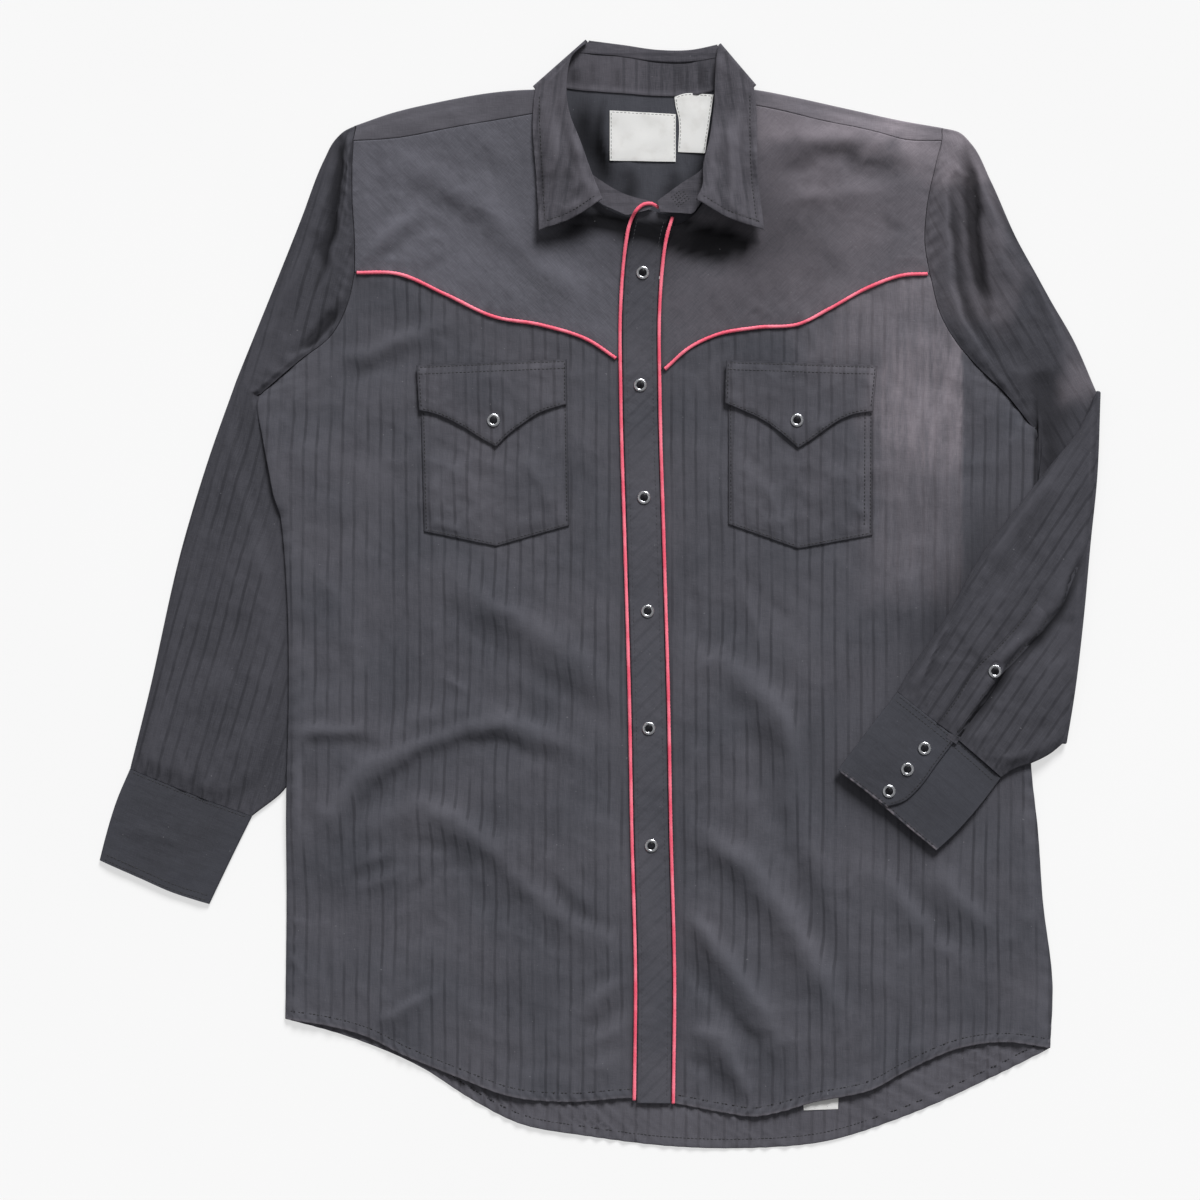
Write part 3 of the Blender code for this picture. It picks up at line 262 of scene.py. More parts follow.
LABEL_CARE = {"top": ((61, 407), (66, 409), (93, 409)), "bottom": ((64, 362), (86, 361)),
              "left": ((61, 407), (62, 399), (64, 391), (64, 362)), "right": ((93, 409), (86, 361))}
LABEL_HEM = {"top": ((165, -402), (196, -397)), "bottom": ((167, -423), (195, -422)),
             "left": ((165, -402), (167, -423)), "right": ((196, -397), (195, -422))}

SNAPS = (             # name, x, y, what it is pressed into
    ("snap_placket_1", 35, 263, "placket"),
    ("snap_placket_2", 33, 171, "placket"),
    ("snap_placket_3", 36, 79, "placket"),
    ("snap_placket_4", 39, -14, "placket"),
    ("snap_placket_5", 40, -110, "placket"),
    ("snap_placket_6", 42, -206, "placket"),
    ("snap_flap_left", -87, 142, "flap"),
    ("snap_flap_right", 161, 142, "flap"),
    ("snap_cuff_1", 265, -126, "cuff"),
    ("snap_cuff_2", 251, -143, "cuff"),
    ("snap_cuff_3", 236, -161, "cuff"),
    ("snap_sleeve", 322, -63, "sleeve placket"),
)

# What the back lies on: the full height holds between the two full lines and eases to none beyond.
# x from none, full, full, none; y from none, full, full, none; height
LIFTS = (
    ((-999, -998, -213, -150), (-270, -170, 96, 156), SLEEVE_LIFT),   # the hanging sleeve's inner edge
    ((250, 312, 998, 999), (-205, -125, 70, 128), SLEEVE_LIFT),       # the folded sleeve's upper arm
    ((-122, -62, 136, 196), (289, 379, 998, 999), COLLAR_LIFT),       # the collar leaf
)

# Where the front stays flat under what lies on it: from x, y, to x, y, radius
FLAT_ZONES = (
    (-86, 120, -86, 105, 88),      # left pocket
    (164, 120, 164, 105, 88),      # right pocket
    (380, 40, 290, -120, 62),      # forearm
    (262, -120, 240, -150, 64),    # cuff
    (-45, 400, -30, 312, 26),      # collar leaf, left
    (110, 400, 106, 312, 28),      # collar leaf, right
)
FLAT_FADE = 34
PLACKET_FADE = 30
PLACKET_CLEAR = 3
FOLD_END = 0.35       # a fold's height at its ends, as a share of that at its middle
CREASE_END, CREASE_TAPER = 0.25, 0.3
FOLD_SHARE = 0.45     # of the solids' folds, under the creases laid on them
NECK_RISE, FRONT_SHARE = 7.6, 0.3      # how far the collar stands up, and its share in the front
NECK_CENTRE, NECK_RADIUS = (38, 352), 62
FRONT_RISE = 1.3       # the front floats a little over the back
FRONT_SINKS = 0.75     # how far a crease may bring it below its solid
LAYER_SINKS = 0.6      # the same for the sleeves
SLEEVE_MOST = 7.0      # the highest that a sleeve is creased
SLEEVE_RISE = 2.4
CUFF_TILT, CUFF_AHEAD = 2.6, np.array([-0.636, -0.772])
RELIEF = 1.1           # a crest this much above its surroundings has all of its painted highlight
LAP, LAP_RISE = 3.2, 1.2        # how far the front laps over the sleeve below the armpit, and how high
LAPS = {"left": (166, 150, 84, 60), "right": (142, 126, 70, 44)}   # y from none, full, full, none
HEM_FOLD = 7.4        # depth of the turned hem
LEAF_PLY = 1.0        # the collar leaf's two layers

# The front's largest folds: from x, y, to x, y, sideways bow, half width, height
FOLDS = (
    (-138, 36, 20, -84, -8, 15, 3.2),
    (-220, -180, -30, -118, 52, 11, 4.2),
    (-190, -188, 22, -292, 34, 13, 3.6),
    (-208, -232, -160, -212, 4, 8, 2.0),
    (-184, -350, -136, -326, 4, 9, 2.2),
    (-18, -340, 20, -312, 3, 9, 2.0),
    (-252, -118, -182, -112, 3, 9, 1.8),
    (78, -54, 178, -178, 16, 14, 3.0),
    (64, -190, 196, -346, 26, 14, 3.4),
    (66, -260, 148, -364, 10, 10, 3.0),
    (70, -360, 122, -414, 10, 9, 2.6),
    (236, -226, 300, -300, -4, 12, 2.6),
    (-160, 352, -18, 248, 10, 13, 2.8),
    (-192, 276, -150, 314, -3, 9, 2.0),
    (126, 338, 214, 346, 16, 13, 2.4),
    (122, 236, 158, 226, 2, 8, 1.6),
)

# Creases: half width or its left and right one, height, points that each runs through
# Fronts and front yokes
FRONT_CREASES = (
    (8, 2.4, (-222, 188), (-185, 200), (-150, 213), (-125, 222)),
    (6, -1.4, (-215, 172), (-180, 186), (-148, 198)),
    (13, 2.4, (-144, 40), (-97, 2), (-56, -25), (-15, -56), (19, -84)),
    (9, -0.9, (-148, 7), (-107, -25), (-61, -56), (-16, -87), (16, -105)),
    (9, 3.6, (-219, -179), (-198, -151), (-171, -134), (-138, -121), (-110, -111), (-76, -107),
     (-49, -116), (-12, -130)),
    (6, -1.6, (-213, -203), (-198, -179), (-175, -155), (-141, -131), (-103, -121), (-66, -127),
     (-33, -143)),
    (10, 2.8, (-192, -189), (-165, -175), (-130, -179), (-97, -203), (-66, -233), (-29, -266),
     (2, -284), (22, -294)),
    (7, -1.4, (-61, -206), (-43, -230), (-15, -260), (19, -277)),
    (8, -1.0, (-164, -194), (-131, -206), (-107, -235), (-74, -271)),
    (4, 1.2, (-130, -66), (-103, -84)),
    (5, -1.1, (-209, -233), (-187, -225), (-165, -212)),
    (5, 1.0, (-203, -243), (-180, -235), (-157, -221)),
    (5, -1.0, (-158, -246), (-139, -233), (-124, -219)),
    (5, 1.4, (-185, -350), (-164, -341), (-139, -326)),
    (4, -1.0, (-180, -341), (-160, -331), (-138, -318)),
    (6, 1.5, (-15, -342), (4, -326), (22, -314)),
    (5, -1.1, (-18, -358), (4, -345), (22, -333)),
    (5, 1.2, (-15, -369), (4, -362), (22, -348)),
    (5, 0.9, (-22, -393), (0, -387), (19, -379)),
    (5, 1.5, (-253, -116), (-221, -111), (-185, -112)),
    (5, -1.0, (-253, -125), (-221, -122), (-180, -124)),
    (7, -1.5, (-236, -124), (-238, -161), (-235, -198)),
    (5, 1.2, (-248, -128), (-248, -161), (-246, -194)),
    (3, 1.0, (-257, -255), (-246, -271)),
    (3, 1.0, (-257, -290), (-242, -312)),
    (3, 1.0, (-257, -325), (-246, -343)),
    (2.5, -0.9, (-224, -284), (-222, -308), (-216, -348)),
    (12, 1.2, (-205, 143), (-164, 159), (-107, 175), (-33, 182)),
    (10, -0.8, (-221, 102), (-189, 126), (-164, 134)),
    (9, 1.0, (-246, 28), (-213, -5), (-197, -54), (-193, -103)),
    (8, -0.8, (-262, -5), (-238, -38), (-221, -87)),
    (7, 1.0, (-8, 143), (0, 93), (7, 28)),
    (9, 1.0, (-123, -317), (-98, -349), (-82, -390)),
    (10, -0.9, (-90, -366), (-49, -382), (0, -390)),
    (12, 4.4, (74, -50), (113, -64), (141, -89), (162, -130), (184, -180), (229, -222), (257, -261)),
    (11, -2.6, (115, -87), (127, -107), (138, -159), (159, -215), (184, -278), (208, -327)),
    (12, 4.2, (62, -184), (96, -204), (127, -232), (156, -275), (184, -320), (201, -348)),
    (9, 3.6, (62, -251), (85, -278), (110, -313), (134, -348), (148, -366)),
    (7, -2.4, (64, -295), (96, -330), (124, -366), (141, -386)),
    (8, 3.2, (68, -358), (93, -362), (116, -397), (124, -415)),
    (6, -1.3, (66, -380), (86, -387), (105, -413)),
    (4, 1.2, (110, 16), (124, -11), (131, -47)),
    (5, -1.1, (119, 18), (139, -5), (160, -23)),
    (6, 0.9, (139, 28), (172, 23), (205, 38)),
    (9, -2.4, (243, -222), (278, -271), (299, -289)),
    (9, 2.4, (271, -210), (299, -255), (328, -280)),
    (8, 1.2, (74, 175), (82, 126), (86, 61), (82, -5)),
    (6, -0.8, (57, 28), (74, 3), (82, -38)),
    (9, 1.8, (250, 28), (258, -21), (250, -71)),
    (12, 1.2, (230, 216), (271, 200), (308, 159), (336, 126)),
    (8, -1.0, (299, 102), (328, 93), (348, 73)),
    (10, 1.2, (213, -382), (262, -370), (312, -358)),
    (8, -1.0, (180, -394), (205, -390), (246, -366)),
    (8, -2.0, (197, -87), (205, -120), (209, -169)),
    (12, 1.7, (-176, 360), (-124, 335), (-75, 302), (-35, 267), (-8, 244)),
    (9, -0.9, (-164, 339), (-108, 302), (-75, 276), (-33, 241)),
    (6, 1.8, (-195, 277), (-173, 297), (-148, 316)),
    (5, -1.0, (-187, 269), (-166, 285), (-144, 302)),
    (9, 1.3, (-111, 387), (-78, 364), (-49, 338)),
    (8, -1.0, (-98, 356), (-74, 335), (-56, 313)),
    (2.5, 0.5, (-160, 290), (-141, 292), (-123, 292)),
    (2.5, 0.6, (-180, 274), (-150, 272)),
    (3.5, -0.9, (-148, 263), (-136, 271), (-123, 276)),
    (2.2, 0.6, (-102, 234), (-93, 241)),
    (2.2, -0.6, (-96, 232), (-87, 240)),
    (2.2, 0.6, (-90, 231), (-80, 240)),
    (2.2, 0.5, (-82, 232), (-69, 239)),
    (7, -0.9, (-184, 364), (-182, 339), (-187, 319)),
    (9, -3.2, (129, 341), (158, 350), (197, 358), (215, 347), (250, 348)),
    (10, 2.2, (131, 376), (164, 374), (213, 372), (254, 364)),
    (8, 2.0, (139, 319), (180, 327), (221, 327)),
    (2.6, -0.8, (109, 239), (121, 235), (134, 227)),
    (2.4, 0.7, (113, 243), (128, 236), (141, 228)),
    (2.2, -0.6, (125, 243), (136, 236), (146, 230)),
    (2.2, 0.6, (133, 243), (143, 236), (153, 230)),
    (5, -1.0, (231, 313), (239, 300), (248, 297)),
    (7, -0.8, (164, 286), (189, 272), (205, 253)),
)
SLEEVE_L_CREASES = (
    ((7, 2.0), 2.4, (-207, 372), (-206, 362), (-205, 350), (-206, 335), (-210, 314), (-214, 293),
     (-219, 272), (-226, 252)),
    ((2.2, 7), -4.6, (-214, 380), (-214, 366), (-212, 353), (-213, 338), (-217, 314), (-220, 293),
     (-225, 273), (-231, 254)),
    ((3.0, 5.5), -4.0, (-210, 236), (-216, 229), (-224, 220), (-235, 209), (-248, 199)),
    (2.6, -2.4, (-215, 381), (-211, 369), (-213, 356)),
    (2.4, 1.4, (-208, 384), (-206, 374), (-209, 364)),
    (9, 2.2, (-228, 340), (-240, 300), (-256, 255), (-272, 215)),
    (4, -1.5, (-285, 148), (-289, 134), (-294, 118)),
    (4, -1.2, (-280, 128), (-285, 113), (-289, 97)),
    (5, 0.8, (-303, 134), (-316, 93), (-324, 44)),
    (4, -1.0, (-348, -138), (-353, -154), (-361, -171)),
    (4, 1.0, (-339, -140), (-344, -157), (-351, -173)),
    (4, -1.0, (-331, -143), (-335, -159), (-339, -175)),
    (4, 0.9, (-320, -148), (-323, -162), (-328, -179)),
    (4, -1.4, (-277, -165), (-287, -174), (-293, -179)),
    (8, 0.8, (-295, 28), (-308, -38), (-316, -103)),
)
SLEEVE_R_CREASES = (
    ((2.4, 8), 2.6, (284, 352), (284, 334), (284, 304), (285, 275), (289, 243), (299, 221),
     (312, 200), (329, 176)),
    ((4.5, 7), -6.4, (301, 366), (304, 346), (306, 321), (308, 292), (311, 266), (318, 230)),
    ((7, 2.6), -2.6, (290, 340), (290, 300), (292, 270), (296, 244), (306, 218), (320, 197)),
    ((6, 9), 2.6, (316, 350), (320, 318), (328, 275), (336, 245)),
    (16, -2.6, (350, 190), (366, 158), (378, 128)),
    (13, -3.0, (360, 146), (368, 118), (364, 84)),
    (10, 1.8, (372, 222), (384, 190), (396, 160)),
    (12, -1.6, (345, 262), (352, 232), (362, 205)),
    ((3, 5), 1.6, (291, 352), (298, 345), (306, 340)),
    (10, -1.4, (325, 225), (335, 205), (345, 190)),
    (4, 1.8, (388, 205), (396, 196), (406, 188)),
    (4, -1.6, (384, 196), (394, 186), (405, 178)),
    (4, 1.6, (390, 186), (398, 176), (408, 168)),
    (7, -1.8, (353, 163), (365, 147), (377, 133)),
    (7, 1.3, (328, 200), (353, 159), (365, 126)),
    (3, -1.4, (395, 177), (408, 175)),
    (5, 1.0, (336, 331), (357, 274), (379, 216)),
    (6, -1.0, (328, 323), (344, 274), (365, 216)),
)
FOREARM_CREASES = (
    ((2.2, 9), 2.6, (300, 13), (286, -11), (276, -35), (264, -61), (256, -88)),
    ((7, 2.0), -1.5, (305, 13), (290, -11), (280, -35), (268, -61), (260, -88)),
    ((1.4, 6), -4.4, (290, -124), (300, -106), (319, -81), (332, -60), (351, -40), (362, -29),
     (378, -7), (387, 20), (402, 39)),
    ((9, 2.0), 1.6, (290, -118), (312, -82), (326, -58), (356, -25), (372, -4), (382, 20),
     (396, 40)),
    (10, 1.6, (352, 96), (330, 52), (312, 20)),
    (9, -1.8, (372, 92), (350, 46), (330, 12)),
    (3, -1.6, (361, -19), (376, -23), (394, -21)),
    (6, 0.9, (336, 28), (320, -13), (299, -54)),
    (6, -0.8, (353, 28), (332, -21), (312, -62)),
    (7, 1.0, (377, -38), (361, -79), (336, -120)),
    (5, -0.8, (390, -46), (377, -87), (353, -124)),
)
CUFF_L_CREASES = (
    (5, 0.8, (-395, -190), (-372, -196), (-340, -205)),
)
LEAF_CREASES = (
    (3, 1.6, (-58, 380), (-56, 350), (-58, 322), (-62, 300)),
    (3, -1.5, (-50, 392), (-48, 360), (-50, 330), (-54, 300)),
    (3, 1.4, (-20, 380), (-18, 364), (-10, 350)),
    (2.5, -1.4, (-30, 380), (-34, 350), (-40, 330), (-46, 312)),
    (3, 1.5, (104, 392), (106, 360), (108, 330), (106, 306)),
    (2.5, -1.4, (118, 396), (117, 366), (119, 336), (124, 310)),
    (3, 1.2, (130, 372), (129, 342), (134, 308)),
    (2.5, -1.2, (94, 344), (98, 326), (108, 306)),
    (7, 1.6, (-42, 400), (-38, 372), (-36, 346), (-40, 316)),
    (5, -1.3, (-24, 396), (-26, 372), (-24, 350), (-30, 326)),
    (4, 1.5, (-10, 366), (-16, 352), (-12, 338), (-2, 330)),
    (3.5, -1.2, (-4, 352), (-8, 340), (-16, 328), (-28, 316)),
    (4, 1.2, (-28, 352), (-20, 340), (-18, 326)),
    (3, 1.0, (-36, 318), (-24, 314), (-12, 318)),
    (7, 1.5, (112, 404), (110, 372), (112, 338), (120, 310)),
    (5, -1.3, (100, 380), (99, 356), (103, 336), (112, 316)),
    (4, 1.3, (90, 356), (96, 340), (94, 328)),
    (4, -1.0, (124, 392), (122, 360), (126, 330)),
)
POCKET_CREASES = (
    (7, 0.9, (-140, 120), (-110, 95), (-95, 60)),
    (6, 0.7, (-70, 118), (-50, 95), (-35, 70)),
    (6, 0.8, (112, 110), (135, 90), (150, 55)),
    (7, 0.8, (180, 110), (200, 88), (215, 62)),
)
NECK_CREASES = (
    (6, 1.6, (22, 352), (26, 335), (20, 318)),
    (8, -0.9, (-10, 400), (-4, 372), (2, 345)),
    (8, 1.4, (70, 352), (64, 338), (56, 326)),
    (4, 1.2, (-6, 432), (-5, 405), (-3, 372)),
    (3, 0.9, (77, 434), (79, 405), (77, 372)),
    (5, 0.6, (30, 430), (28, 410), (30, 380)),
)

# Painted shadow under the collar, beside the forearm, below the cuff and in the right yoke's folds, rows as
# for creases
PAINTED_SHADOW_ROWS = (
    (10, 2.6, (-22, 296), (-6, 303), (8, 303), (26, 299), (42, 298), (59, 298), (74, 297), (88, 295),
     (100, 290), (114, 284)),
    (14, 0.5, (-20, 286), (10, 290), (50, 286), (90, 280), (120, 272)),
    (16, 0.30, (120, 332), (150, 302), (168, 276)),
    (26, 0.5, (84, 268), (130, 276), (176, 282), (210, 284)),
    (10, 1.5, (50, 288), (72, 285), (92, 281), (112, 276)),
    (9, 1.1, (-62, 280), (-44, 288), (-24, 298), (-4, 306)),
    (7, 0.8, (-30, 305), (-14, 309), (8, 309)),
    (9, 1.2, (96, 300), (112, 291), (128, 283)),
    (16, 0.60, (334, 96), (322, 64), (306, 34), (290, 4), (268, -34), (246, -66)),
    (24, 0.22, (330, 40), (310, -10), (285, -60)),
    (14, 0.62, (178, -132), (196, -150), (220, -172), (252, -200), (284, -222)),
    (6, 0.32, (210, 360), (240, 352), (264, 347)),
    (7, 0.24, (140, 352), (170, 349), (205, 352)),
)
# Painted shade inside the neck, in the same rows
NECK_PAINTED_SHADE = (
    (12, 1.7, (-20, 412), (-14, 388), (-8, 364), (4, 344), (18, 328)),
    (4, 1.1, (-2, 408), (0, 390), (0, 366), (6, 346)),
    (7, 1.3, (20, 352), (26, 338), (24, 318)),
    (7, 1.2, (62, 352), (60, 336), (52, 322)),
    (12, 1.8, (98, 402), (97, 375), (91, 352), (80, 330), (64, 316)),
    (6, 0.8, (-22, 432), (-21, 424), (-20, 416)),
    (4, 0.8, (-6, 438), (-5, 424), (-4, 414)),
    (3, 0.7, (14, 432), (14, 424), (15, 414)),
    (4, 0.8, (84, 436), (84, 424), (84, 412)),
    (3, 0.6, (66, 434), (67, 424), (66, 412)),
)

SNAP_RING = (         # radius, height, how far it is ridged
    (5.4, 0.0, 0.0), (5.45, 0.5, 0.2), (5.25, 0.95, 0.6), (4.75, 1.3, 0.9), (4.1, 1.42, 0.9), (3.5, 1.3, 0.5),
    (3.15, 1.05, 0.1), (3.0, 0.6, 0.0),
)
SNAP_CAP = (
    (3.1, 0.5, 0.0), (3.05, 0.85, 0.0), (2.7, 1.1, 0.0), (2.1, 1.3, 0.0), (1.3, 1.44, 0.0), (0.6, 1.5, 0.0),
    (0.2, 1.51, 0.0),
)
SNAP_SEAT = (5.6, 9.5)   # the cloth round a snap is pressed flat: full, none

# The open edge of the forearm's slit, from the cuff to the elbow, and how wide its painted shade is along it
OPENING = ((290, -122), (300, -106), (319, -81), (332, -60), (351, -40), (362, -29), (378, -7), (384, 8),
           (390, 22))
OPENING_WIDTHS = (0, 0.25, 0.5, 0.8, 1), (10, 8, 5, 4, 2)

# Puckers beside sewn edges: depth, how far they run in, wavelength, seed
PUCKERS = {
    "yoke seam": (0.35, 7, 11, 51),
    "yoke armhole": (0.3, 6, 10, 53),
    "front hem": (0.85, 30, 9, 55),
    "front side": (0.55, 9, 17, 57),
    "front top": (0.3, 7, 11, 59),
    "back hem": (1.3, 12, 13, 61),
    "left armhole": (0.5, 12, 11, 63),
    "left cuff seam": (0.8, 14, 9, 65),
    "right armhole": (1.0, 16, 12, 67),
    "right cuff seam": (0.6, 10, 9, 69),
    "left cuff": (0.3, 8, 8, 71),
    "right cuff": (0.25, 8, 8, 73),
    "leaf": (0.45, 5, 7, 75),
    "stand": (0.6, 8, 7, 79),
    "placket": (0.22, 6, 9, 83),
    "pocket left": (0.2, 5, 9, 91),
    "flap left": (0.14, 4, 8, 93),
    "pocket right": (0.2, 5, 9, 95),
    "flap right": (0.14, 4, 8, 97),
}

# Where the sun bleached the shirt: how strongly; x from none, full, full, none; windows in y like it
FAR = 600, 601        # past every edge
SUN = (
    (0.95, (85, 190, 360, 380), (352, 384, *FAR)),           # right shoulder
    (0.95, (222, 252, 330, 356), (318, 362, *FAR)),          # its tip
    (0.22, (120, 190, 330, 350), (205, 235, *FAR)),          # right yoke
    (0.2, (170, 240, 320, 340), (250, 275, 330, 350)),
    (0.4, (370, 398, *FAR), (150, 190, 235, 275)),           # elbow
)
SUN_BAND = (          # beside the right pocket, up to a sharp edge
    (0.66, (196, 258, *FAR), (60, 150, *FAR), (40, 96, 178, 268)),
    (0.34, (140, 226, *FAR), (150, 218, 246, 300)),
    (0.22, (195, 240, *FAR), (-40, 40, 240, 300)),
)
SUN_EDGE = 298
SUN_ON_FRONT = 0.5    # the shoulder's bleaching, on the front below the yoke seam
FRONT_BELOW = 230

# Piping
CORD_SPOKES, CORD_TWIST = 14, 3.1
CORD_HALF_WIDE, CORD_HALF_HIGH, CORD_MIDDLE = 1.4, 1.15, 0.62

# Sewing: how far in from an edge
LEAF_STITCH, PLACKET_STITCH, POCKET_GROOVE = 5.5, 3.2, 2.4
STITCH_HIGH = 0.16
STITCH_STEEPEST = 1.2
SEWING = {            # edge, how far to the left of its direction, how much is left out at its ends
    "cuff_left": ((CUFF_SEAM_L, -2.2, (3, 3)), (CUFF_L_END, 2.2, (3, 3)), (CUFF_L_END, 6.5, (3, 3))),
    "cuff_right": ((CUFF_SEAM_R, -2.2, (3, 3)), (CUFF_SEAM_R, -6.5, (3, 3)), (CUFF_R_END, 2.2, (3, 3)),
                   (OVERLAP_END, -2.2, (3, 2))),
    "sleeve_placket": ((SLIT_EDGE, 2.0, (3, 3)), (SLIT_EDGE, 18.0, (3, 3))),
    "front_left": ((HEM_L, HEM_FOLD, (2, 2)),),
    "front_right": ((HEM_R, HEM_FOLD, (2, 2)),),
    "back": ((HEM_BACK, HEM_FOLD, (2, 2)),),
}


def ease(t):
    """0 to 1 with level ends."""
    t = np.clip(t, 0.0, 1.0)
    return t * t * (3 - 2 * t)


def unit(vectors):
    """The vectors at length 1."""
    vectors = np.asarray(vectors, float)
    return vectors / np.maximum(np.linalg.norm(vectors, axis=-1, keepdims=True), 1e-9)


def at_least(least, share):
    """A share from 0 to 1, brought to the range from least to 1."""
    return least + (1 - least) * share


def groove(distance, at, width):
    """1 on a line that lies at a distance, falling to 0 beside it."""
    return np.exp(-((distance - at) / width) ** 2)


def distances(points):
    """How far each of a run of points lies along it."""
    return np.concatenate([[0.0], np.cumsum(np.linalg.norm(np.diff(points, axis=0), axis=1))])


def placed(points, run, wanted):
    """Points at the wanted places, between points that are at the places in run."""
    return np.column_stack([np.interp(wanted, run, points[:, k]) for k in (0, 1)])


def even(points, steps):
    """steps + 1 points at equal distances along straight runs between the given points."""
    run = distances(points)
    return placed(points, run, np.linspace(0, run[-1], steps + 1))


def smooth(points, steps):
    """steps + 1 points at equal distances along a smooth curve through the given ones."""
    points = np.asarray(points, float)
    chords = np.linalg.norm(np.diff(points, axis=0), axis=1)
    at = distances(points)
    slopes = np.gradient(points, at, axis=0) if len(points) > 2 else np.diff(points, axis=0) / chords[0]
    if len(points) == 2:
        slopes = np.vstack([slopes, slopes])
    fine = []
    for i, length in enumerate(chords):
        t = np.linspace(0, 1, CURVE_STEPS, endpoint=False)[:, None]
        fine.append((2 * t ** 3 - 3 * t ** 2 + 1) * points[i] + (t ** 3 - 2 * t ** 2 + t) * length * slopes[i]
                    + (3 * t ** 2 - 2 * t ** 3) * points[i + 1] + (t ** 3 - t ** 2) * length * slopes[i + 1])
    return even(np.vstack(fine + [points[-1:]]), steps)


def join(*runs):
    """One run of points from several that meet end to end."""
    return np.vstack([runs[0]] + [run[1:] for run in runs[1:]])


def left_of(curve):
    """Unit vectors square to a curve, to the left of its own direction."""
    ahead = unit(np.gradient(curve, axis=0))
    return np.column_stack([-ahead[:, 1], ahead[:, 0]])


def shift(curve, distance):
    """A curve moved sideways, to the left of its own direction."""
    return curve + left_of(curve) * distance


def square_to(edge, towards):
    """Unit vectors square to an edge, on the side where the given point or points lie."""
    square = left_of(edge)
    side = np.sign(np.sum(square * (np.asarray(towards, float) - edge), axis=1))
    return square * side[:, None]


def fill(top, bottom, left, right):
    """A grid of plan points between four edges that share their corners."""
    u = np.linspace(0, 1, len(top))[None, :, None]
    v = np.linspace(0, 1, len(left))[:, None, None]
    corners = ((1 - u) * (1 - v) * top[0] + u * (1 - v) * top[-1]
               + (1 - u) * v * bottom[0] + u * v * bottom[-1])
    return (1 - v) * top[None] + v * bottom[None] + (1 - u) * left[:, None] + u * right[:, None] - corners


def trim(grid, **sides):
    """A grid whose edge rows are drawn in by the given distances."""
    grid = grid.copy()
    ends = {"top": (0, 1), "bottom": (-1, -2), "left": (0, 1), "right": (-1, -2)}
    for name, distance in sides.items():
        view = grid if name in ("top", "bottom") else grid.swapaxes(0, 1)
        edge, inside = ends[name]
        view[edge] += square_to(view[edge], view[inside]) * distance
    return grid


def tighten(grid, sides="tblr"):
    """A grid with close rows added at its free edges, to round them."""
    for side in sides:
        view = grid if side in "tb" else grid.swapaxes(0, 1)
        view = view if side in "tl" else view[::-1]
        step = np.linalg.norm(view[1] - view[0], axis=1, keepdims=True)
        ahead = (view[1] - view[0]) / np.maximum(step, 1e-9)
        extra = [view[0] + ahead * np.minimum(distance, step * share)
                 for distance, share in zip(ROUND, (0.2, 0.6))]
        view = np.concatenate([view[:1], np.stack(extra), view[1:]])
        view = view if side in "tl" else view[::-1]
        grid = view if side in "tb" else view.swapaxes(0, 1)
    return np.ascontiguousarray(grid)


def lifted(xy, z):
    """Plan points with a height."""
    return np.concatenate([xy, np.broadcast_to(np.asarray(z, float), xy.shape[:-1])[..., None]], axis=-1)


def reach(grid):
    """How far each point of a grid lies from its top, bottom, left and right edge."""
    down = np.zeros(grid.shape[:2])
    down[1:] = np.linalg.norm(np.diff(grid[..., :2], axis=0), axis=2).cumsum(axis=0)
    over = np.zeros(grid.shape[:2])
    over[:, 1:] = np.linalg.norm(np.diff(grid[..., :2], axis=1), axis=2).cumsum(axis=1)
    return {"t": down, "b": down[-1] - down, "l": over, "r": over[:, -1:] - over}


def noise(xy, size, seed, angle=0.0, stretch=1.0):
    """Smooth noise from about -1 to 1 with features of the given size, longer along an angle in degrees."""
    turned = math.radians(angle)
    cos, sin = math.cos(turned), math.sin(turned)
    p = (xy[..., 0] * cos + xy[..., 1] * sin) / (size * stretch) + 64.37
    q = (xy[..., 1] * cos - xy[..., 0] * sin) / size + 64.71
    slopes = np.random.default_rng(seed).uniform(0, 2 * math.pi, (128, 128))
    i, j = np.floor(p).astype(int), np.floor(q).astype(int)
    f, g = p - i, q - j
    u, v = f ** 3 * (f * (f * 6 - 15) + 10), g ** 3 * (g * (g * 6 - 15) + 10)

    def corner(a, b):
        slope = slopes[(i + a) % 128, (j + b) % 128]
        return np.cos(slope) * (f - a) + np.sin(slope) * (g - b)

    low = corner(0, 0) * (1 - u) + corner(1, 0) * u
    high = corner(0, 1) * (1 - u) + corner(1, 1) * u
    return 1.5 * (low * (1 - v) + high * v)


def wander(xy, size, amount, seed):
    """Plan points moved a little, so that what is laid by them runs less straight."""
    return xy + amount * np.stack([noise(xy, size, seed), noise(xy, size, seed + 1)], axis=-1)


def crumple(xy, size, seed, angle=0.0, stretch=1.6):
    """Sharp little ridges where noise crosses nought, from 0 to 1."""
    return np.maximum(1 - 2.2 * np.abs(noise(xy, size, seed, angle, stretch)), 0.0) ** 2


def off_line(xy, points):
    """How far points lie from a line through the given ones, left of it positive, and where along it."""
    line = smooth(points, 6 * (len(points) - 1)) if len(points) > 2 else np.asarray(points, float)
    best = np.full(xy.shape[:-1], 1e9)
    side, place = np.zeros_like(best), np.zeros_like(best)
    steps = len(line) - 1
    for k in range(steps):
        ahead = line[k + 1] - line[k]
        to = xy - line[k]
        t = np.clip(to @ ahead / (ahead @ ahead), 0.0, 1.0)
        gap = to - t[..., None] * ahead
        distance = np.hypot(gap[..., 0], gap[..., 1])
        near = distance < best
        best = np.where(near, distance, best)
        side = np.where(near, ahead[0] * gap[..., 1] - ahead[1] * gap[..., 0], side)
        place = np.where(near, (k + t) / steps, place)
    return np.where(side < 0, -best, best), place


def cuff_tilt(xy):
    """How far the folded cuff rises towards its end."""
    away = (xy - np.array(CUFF_SEAM_R[0], float)) @ CUFF_AHEAD
    return CUFF_TILT * ease(away / 45)


